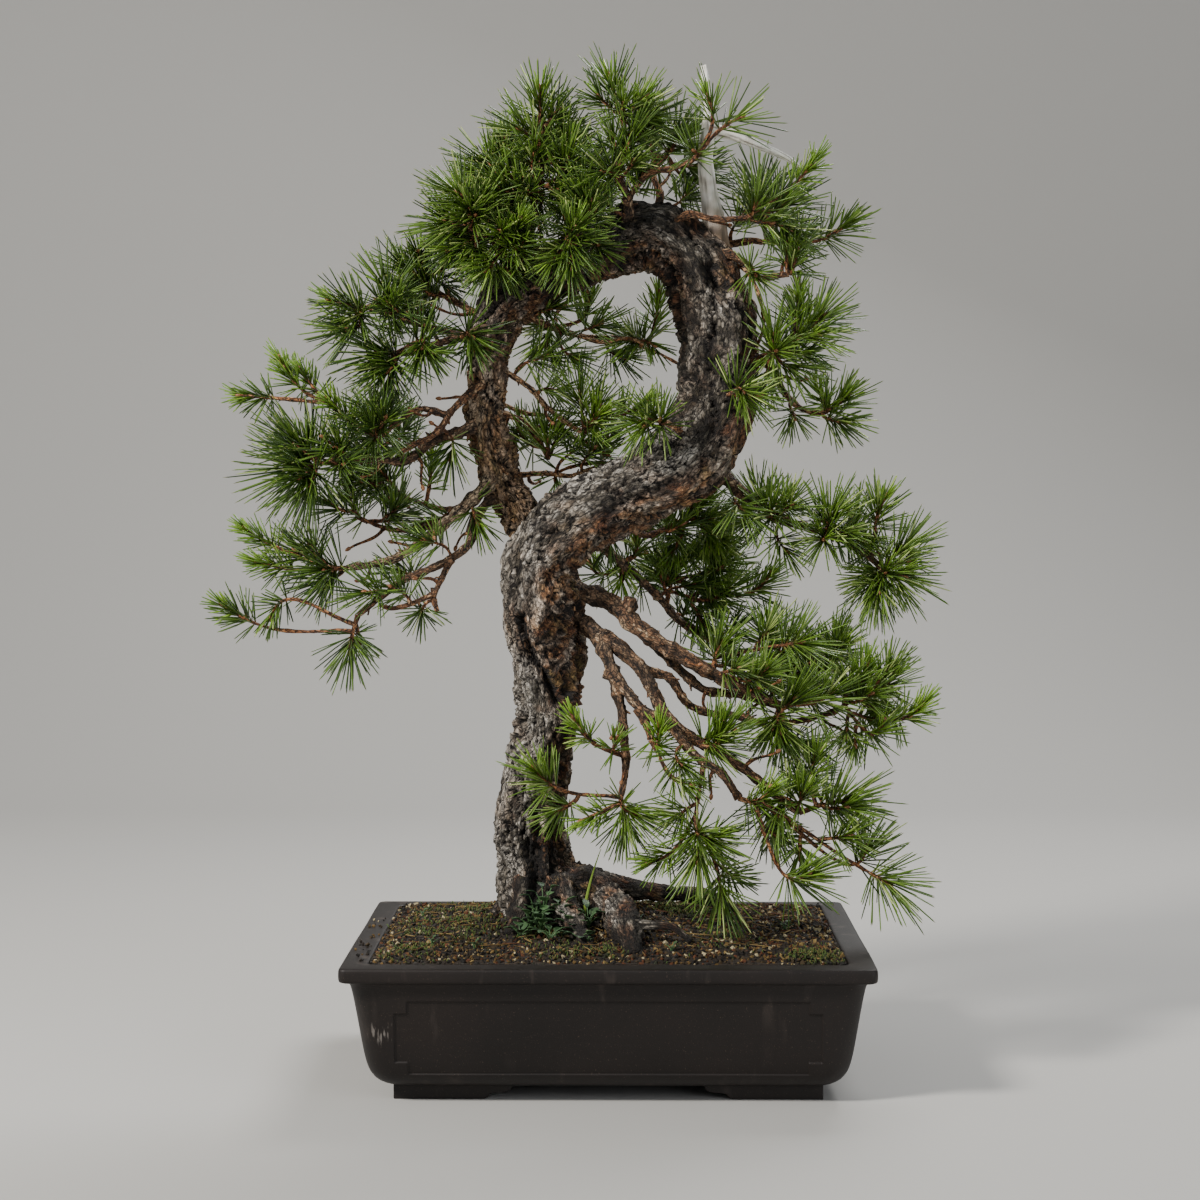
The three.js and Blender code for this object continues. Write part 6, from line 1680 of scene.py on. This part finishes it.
def make_soil(p):
    """Two layers of grains over the packed soil, which shows dark between them, and dry needles
    that have fallen on them."""
    dress("soil", soil_bed())
    look = soil_grains()
    wood = wood_stretches()
    spread_grains("soil_grains", p.grains, 1.7, 3.1, 0.3, 40, wood, look)
    rng = spread_grains("soil_crumbs", p.crumbs, 0.9, 1.8, 1.2, 41, wood, look)
    ends = scattered(rng, 260, 26)
    other = ends + rng.normal(0, 12, ends.shape)
    a, b = (np.column_stack([e, soil_height(e[:, 0], e[:, 1]) + 2.6]) for e in (ends, other))
    keep = np.maximum(depth_in_wood(a, wood), depth_in_wood(b, wood)) < 0
    a, b = a[keep], b[keep]
    long = np.linalg.norm(b - a, axis=1)
    bend = np.column_stack([rng.normal(0, 2, (len(a), 2)), np.zeros(len(a))])
    marks = {"tone": rng.choice([0.78, 0.86, 0.7], len(a)), "fresh": np.zeros(len(a))}
    skin = spikes(a, unit(b - a), long, bend, np.full(len(a), 1.2), marks)
    place(build_mesh("fallen_needles", [skin], [look]), "soil")


def make_moss(p):
    """Moss as short upright leaves, thick where the soil is green."""
    rng = np.random.default_rng(77)
    flat = scattered(rng, p.moss_leaves * 4, 2)
    keep = rng.random(len(flat)) < moss_share(flat[:, 0], flat[:, 1]) ** 1.6
    flat = flat[keep][: p.moss_leaves]
    base = np.column_stack([flat, soil_height(flat[:, 0], flat[:, 1]) + 0.6])
    base = base[depth_in_wood(base, wood_stretches()) < 0.5]
    n = len(base)
    way = unit(np.column_stack([rng.normal(0, 0.55, (n, 2)), np.ones(n)]))
    length = rng.uniform(2.2, 5.5, n)
    marks = {"tone": rng.random(n), "fresh": np.zeros(n)}
    skin = spikes(base, way, length, np.zeros((n, 3)), rng.uniform(0.9, 1.5, n), marks)
    place(build_mesh("moss", [skin], [moss()]), "leaf")


def blade(base, way, length, width, curl, tone):
    """A leaf: a lens across, 0.5 mm thick, whose width follows the root of a sine and whose
    tip curls down by the square of the way along."""
    t = np.linspace(0.02, 0.98, 8)
    angle = around(8)
    side = unit(np.cross([0.1, 0.2, 1.0], way))
    up = np.cross(way, side)
    mid = base + way * (t * length)[:, None] - up * (curl * length * t ** 2)[:, None]
    half = width / 2 * np.sin(np.pi * t) ** 0.6
    across = np.cos(angle)[None, :, None] * half[:, None, None] * side
    thick = np.sin(angle)[None, :, None] * 0.3 * up
    fold = (np.cos(angle)[None, :] ** 2 * half[:, None] * 0.25)[..., None] * up
    return closed(mid[:, None] + across + thick + fold, {"tone": np.full((8, 8), tone)})


def weed_skins(x, y, leaves, height, width, length, rng, spread):
    """A weed: thin stalks from one root, each with a leaf at its end."""
    ground = np.array([x, y, soil_height(x, y)])
    skins = []
    for i in range(leaves):
        turn, rise = i * 2.4, (i + 1) / leaves
        lean = np.array([math.cos(turn), math.sin(turn), 0]) * spread * rng.uniform(0.35, 1)
        end = ground + lean + [0, 0, height * (0.35 + 0.65 * rise) * rng.uniform(0.85, 1.05)]
        stalk = bezier([ground - [0, 0, 4], ground + [0, 0, height * 0.3], end - lean * 0.4, end], 10)
        path, _ = evenly(stalk, 6)
        grid, _ = tube(path, np.full((7, 5), 0.55), around(5))
        skins.append(closed(grid, {"tone": np.full((7, 5), 0.9)}))
        way = unit(lean / spread + [0, 0, rng.uniform(0.1, 0.7)])
        long, wide = length * rng.uniform(0.8, 1.2), width * rng.uniform(0.8, 1.2)
        skins.append(blade(end - way, way, long, wide, 0.25, rng.random()))
    return skins


# Weeds round the clump: x, depth, number of leaves, height and spread. Seedlings: x and depth.
MORE_WEEDS = [
    (-76, -58, 11, 24, 13), (-36, -64, 10, 20, 12), (-56, -84, 9, 13, 13), (-86, -72, 7, 12, 11),
    (-48, -46, 9, 30, 10), (-20, -50, 7, 22, 11), (-28, -88, 7, 10, 10), (-64, -43, 7, 46, 10),
    (-72, -46, 5, 34, 8),
]
SEEDLINGS = [(-170, -90), (-128, -110), (60, -120), (120, 10), (-190, 40), (30, -30), (-20, -96)]


def make_weeds():
    """A clump of round leaves at the trunk's foot, seedlings and a blade of grass."""
    look = soft_leaf()
    rng = np.random.default_rng(5)
    skins = weed_skins(-66, -66, 12, 26, 11, 10, rng, 10)
    place(build_mesh("clump_leaves", skins, [look]), "leaf", "weed_clover")
    skins = []
    for x, y, count, height, spread in MORE_WEEDS:
        skins += weed_skins(x, y, count, height, 10, 10, rng, spread)
    for x, y in SEEDLINGS:
        skins += weed_skins(x, y, 4, 7, 4, 5, rng, 5)
    place(build_mesh("more_leaves", skins, [look]), "leaf")
    skins = weed_skins(174, -22, 5, 10, 5, 7, rng, 5)
    place(build_mesh("seedling_leaves", skins, [look]), "leaf", "weed_seedling")
    ground = in_sight([[-25, -20, 167]])[0]
    ground[2] = soil_height(ground[0], ground[1])
    tip = in_sight([[-8, -26, 217]])[0]
    curve = bezier([ground - [0, 0, 5], ground + [0, 0, 22], tip + [-6, 0, -16], tip], 40)
    path, _ = evenly(curve, 24)
    t = np.linspace(0, 1, 25)[:, None]
    angle = around(8)
    reach = (1 - 0.85 * t) * np.hypot(2.1 * np.cos(angle), 0.5 * np.sin(angle))
    grid, _ = tube(path, reach, angle)
    skin = closed(grid, {"tone": np.full(reach.shape, 2.0)})
    place(build_mesh("grass_blade", [skin], [look]), "leaf", "weed_grass")


def dress(node, look):
    """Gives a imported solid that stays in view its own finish."""
    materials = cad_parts[node].data.materials
    materials.clear()
    materials.append(look)


def make_screens():
    """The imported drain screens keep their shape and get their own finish."""
    look = plastic_mesh()
    for name in ("drain_screen_left", "drain_screen_right"):
        dress(name, look)


# Stage.


# The camera stands at the photo's viewpoint. Tilt and turn are in radians.
CAMERA = {"lens": 68.82, "tilt": 0.0406, "turn": 0.0083}

# Floor and backdrop, in metres: the floor's front edge and half width, where it starts to bend,
# the radius of the bend, and the backdrop's top.
SWEEP = {"front": -6.0, "side": 7, "back": 1.9, "bend": 1.2, "top": 5.5}


def lamp(name, place_at, target, size, watts, colour):
    """A round area light that points at its target."""
    data = bpy.data.lights.new(name, "AREA")
    data.shape, data.size, data.energy, data.color = "DISK", size, watts, colour
    made = in_scene(name, data)
    made.location = place_at
    way = Vector(target) - Vector(place_at)
    made.rotation_euler = way.to_track_quat("-Z", "Y").to_euler()


def make_stage(p):
    """Floor that bends up into a backdrop: flat, then a quarter circle, then upright."""
    t = np.linspace(0, np.pi / 2, 25)
    back, bend = SWEEP["back"], SWEEP["bend"]
    curve = zip(back + bend * np.sin(t), bend - bend * np.cos(t))
    profile = [(SWEEP["front"], 0.0), *curve, (back + bend, SWEEP["top"])]
    x = np.linspace(-SWEEP["side"], SWEEP["side"], 8)
    grid = np.array([[(a, y, z) for a in x] for y, z in profile])
    index = np.arange(grid.shape[0] * grid.shape[1]).reshape(grid.shape[:2])
    faces = np.stack([index[:-1, :-1], index[:-1, 1:], index[1:, 1:], index[1:, :-1]], axis=-1)
    mesh = bpy.data.meshes.new("studio_sweep")
    mesh.from_pydata(grid.reshape(-1, 3).tolist(), [], faces.reshape(-1, 4).tolist())
    mesh.polygons.foreach_set("use_smooth", np.full(len(mesh.polygons), True))
    mesh.materials.append(finish("matt_studio_paper", 0.9, lambda tree, place_in: {
        "Base Color": mix(tree, grit(tree, place_in, 900, 1), p.floor_colour, p.floor_shade),
    }))
    sweep = in_scene("studio_sweep", mesh)
    world = bpy.data.worlds.new("studio_air")
    world.use_nodes = True
    air = world.node_tree.nodes["Background"].inputs
    air["Color"].default_value = (0.9, 0.95, 1, 1)
    air["Strength"].default_value = p.air_strength
    bpy.context.scene.world = world
    lamp("key", (-2.1, -1.6, 2.3), (0, 0, 0.5), 0.6, p.key_watts, (1, 0.97, 0.92))
    lamp("fill", (2.3, -2.2, 1.1), (0, 0, 0.4), 2.2, p.key_watts * 0.22, (0.93, 0.96, 1))
    lamp("rim", (0.9, 1.5, 2.4), (0, 0, 0.6), 1.2, p.key_watts * 0.4, (1, 1, 1))
    data = bpy.data.cameras.new("camera")
    data.lens, data.sensor_width, data.sensor_fit = CAMERA["lens"], 36, "HORIZONTAL"
    data.clip_start, data.clip_end = 0.05, 50
    camera = in_scene("camera", data)
    camera.location = (np.array([VIEWER["x"], -VIEWER["distance"], VIEWER["z"]]) + ORIGIN) * MM
    camera.rotation_euler = (math.pi / 2 - CAMERA["tilt"], 0, CAMERA["turn"])
    bpy.context.scene.camera = camera


# Settings, operators and panel.


def colour(name, description, code):
    """A colour setting, with its default as a hex code."""
    return FloatVectorProperty(
        name=name, description=description, subtype="COLOR", size=3, min=0, max=1, default=linear(code),
    )


class BarkSettings(bpy.types.PropertyGroup):
    ring_spacing: FloatProperty(
        name="Ring spacing", description="Distance between the rings of the trunk's surface",
        default=0.0018, min=0.001, max=0.01, unit="LENGTH",
    )
    plate_colour: colour("Plates", "Weathered face of the bark plates", "#8b8276")
    # Painted shade: the colour drawn into cracks, grooves and the borders of plates and scales.
    crack_shade_colour: colour("Cracks", "Bottom of the cracks between plates", "#1d1713")


class FoliageSettings(bpy.types.PropertyGroup):
    needle_length: FloatProperty(
        name="Needle length", description="Length of a mature needle",
        default=0.054, min=0.01, max=0.15, unit="LENGTH",
    )
    needle_width: FloatProperty(
        name="Needle width", description="Width of a needle at half length",
        default=0.0015, min=0.0005, max=0.004, unit="LENGTH",
    )
    bundles: IntProperty(
        name="Bundles", description="Bundles of three needles on a full shoot", default=21, min=6, max=80,
    )
    side_shoots: IntProperty(
        name="Side shoots", description="Short shoots beside each full one", default=1, min=0, max=3,
    )
    mature_colour: colour("Mature", "Lit face of a mature needle", "#648230")
    shaded_colour: colour("Mature, dark", "Darkest mature needles", "#2a4115")
    fresh_colour: colour("Fresh", "Lightest needles of this year", "#93b93c")
    fresh_shade_colour: colour("Fresh, dark", "Darkest needles of this year", "#5b8029")


class PotSettings(bpy.types.PropertyGroup):
    clay_dark: colour("Clay, dark", "Darker patches of the unglazed clay", "#100b09")
    clay_light: colour("Clay, light", "Lighter patches of the unglazed clay", "#1b1411")


class SoilSettings(bpy.types.PropertyGroup):
    grains: IntProperty(
        name="Grains", description="Coarse grains on the soil", default=6900, min=1000, max=20000,
    )
    crumbs: IntProperty(
        name="Crumbs", description="Fine grains between the coarse ones", default=4200, min=0, max=20000,
    )
    moss_leaves: IntProperty(
        name="Moss leaves", description="Upright leaves of moss", default=5000, min=0, max=15000,
    )


class StageSettings(bpy.types.PropertyGroup):
    key_watts: FloatProperty(
        name="Key light", description="Power of the main light", default=150, min=1, unit="POWER",
    )
    air_strength: FloatProperty(
        name="Air", description="Strength of the even light from all sides", default=0.3, min=0,
    )
    floor_colour: colour("Floor", "Pale paper of floor and backdrop", "#bab8b4")
    floor_shade: colour("Floor, dark", "Slightly darker paper", "#b2b0ac")


class BONSAI_OT_trunk(bpy.types.Operator):
    """Grow the trunk and the surface roots in plated bark"""
    bl_idname = "bonsai.trunk"
    bl_label = "Trunk and Roots"

    def execute(self, context):
        make_trunk(context.scene.bonsai_bark)
        return {"FINISHED"}


class BONSAI_OT_limbs(bpy.types.Operator):
    """Grow the limbs with their broken spurs"""
    bl_idname = "bonsai.limbs"
    bl_label = "Limbs"

    def execute(self, context):
        make_limbs(context.scene.bonsai_bark)
        return {"FINISHED"}


class BONSAI_OT_deadwood(bpy.types.Operator):
    """Carve the bleached leader and its branch"""
    bl_idname = "bonsai.deadwood"
    bl_label = "Deadwood"

    def execute(self, context):
        make_deadwood()
        return {"FINISHED"}


class BONSAI_OT_foliage(bpy.types.Operator):
    """Grow the shoots, needles and buds of every spray"""
    bl_idname = "bonsai.foliage"
    bl_label = "Foliage"

    def execute(self, context):
        make_sprays(context.scene.bonsai_foliage, context.scene.bonsai_bark)
        return {"FINISHED"}


class BONSAI_OT_pot(bpy.types.Operator):
    """Form the pot, its feet and its drain screens"""
    bl_idname = "bonsai.pot"
    bl_label = "Pot"

    def execute(self, context):
        make_pot(context.scene.bonsai_pot)
        make_screens()
        return {"FINISHED"}


class BONSAI_OT_soil(bpy.types.Operator):
    """Scatter the grains and the moss"""
    bl_idname = "bonsai.soil"
    bl_label = "Soil and Moss"

    def execute(self, context):
        make_soil(context.scene.bonsai_soil)
        make_moss(context.scene.bonsai_soil)
        return {"FINISHED"}


class BONSAI_OT_weeds(bpy.types.Operator):
    """Grow the weeds and the blade of grass"""
    bl_idname = "bonsai.weeds"
    bl_label = "Weeds"

    def execute(self, context):
        make_weeds()
        return {"FINISHED"}


class BONSAI_OT_stage(bpy.types.Operator):
    """Set up the pale floor, the lights and the camera"""
    bl_idname = "bonsai.stage"
    bl_label = "Stage"

    def execute(self, context):
        make_stage(context.scene.bonsai_stage)
        return {"FINISHED"}


class BONSAI_PT_parts(bpy.types.Panel):
    """Everything that this bonsai is made of"""
    bl_idname = "BONSAI_PT_parts"
    bl_label = "Pitch Pine Bonsai"
    bl_space_type = "VIEW_3D"
    bl_region_type = "UI"
    bl_category = "Bonsai"

    def draw(self, context):
        for title, group, operators in PARTS:
            box = self.layout.box()
            box.label(text=title)
            settings = getattr(context.scene, group)
            for name in settings.__annotations__:
                box.prop(settings, name)
            for operator in operators:
                box.operator(operator.bl_idname)


PARTS = (
    ("Wood", "bonsai_bark", (BONSAI_OT_trunk, BONSAI_OT_limbs, BONSAI_OT_deadwood)),
    ("Foliage", "bonsai_foliage", (BONSAI_OT_foliage,)),
    ("Pot", "bonsai_pot", (BONSAI_OT_pot,)),
    ("Soil", "bonsai_soil", (BONSAI_OT_soil, BONSAI_OT_weeds)),
    ("Stage", "bonsai_stage", (BONSAI_OT_stage,)),
)
GROUPS = {
    "bonsai_bark": BarkSettings, "bonsai_foliage": FoliageSettings, "bonsai_pot": PotSettings,
    "bonsai_soil": SoilSettings, "bonsai_stage": StageSettings,
}


def register():
    """Registers the settings, the operators and the panel."""
    for name, group in GROUPS.items():
        bpy.utils.register_class(group)
        setattr(bpy.types.Scene, name, PointerProperty(type=group))
    for _, _, operators in PARTS:
        for operator in operators:
            bpy.utils.register_class(operator)
    bpy.utils.register_class(BONSAI_PT_parts)


def unregister():
    """Takes out again what register put in."""
    bpy.utils.unregister_class(BONSAI_PT_parts)
    for _, _, operators in PARTS:
        for operator in operators:
            bpy.utils.unregister_class(operator)
    for name, group in GROUPS.items():
        delattr(bpy.types.Scene, name)
        bpy.utils.unregister_class(group)


def main():
    """Makes every group of pieces and the stage."""
    register()
    bpy.ops.bonsai.trunk()
    bpy.ops.bonsai.limbs()
    bpy.ops.bonsai.deadwood()
    bpy.ops.bonsai.foliage()
    bpy.ops.bonsai.pot()
    bpy.ops.bonsai.soil()
    bpy.ops.bonsai.weeds()
    bpy.ops.bonsai.stage()


if __name__ == "__main__":
    main()
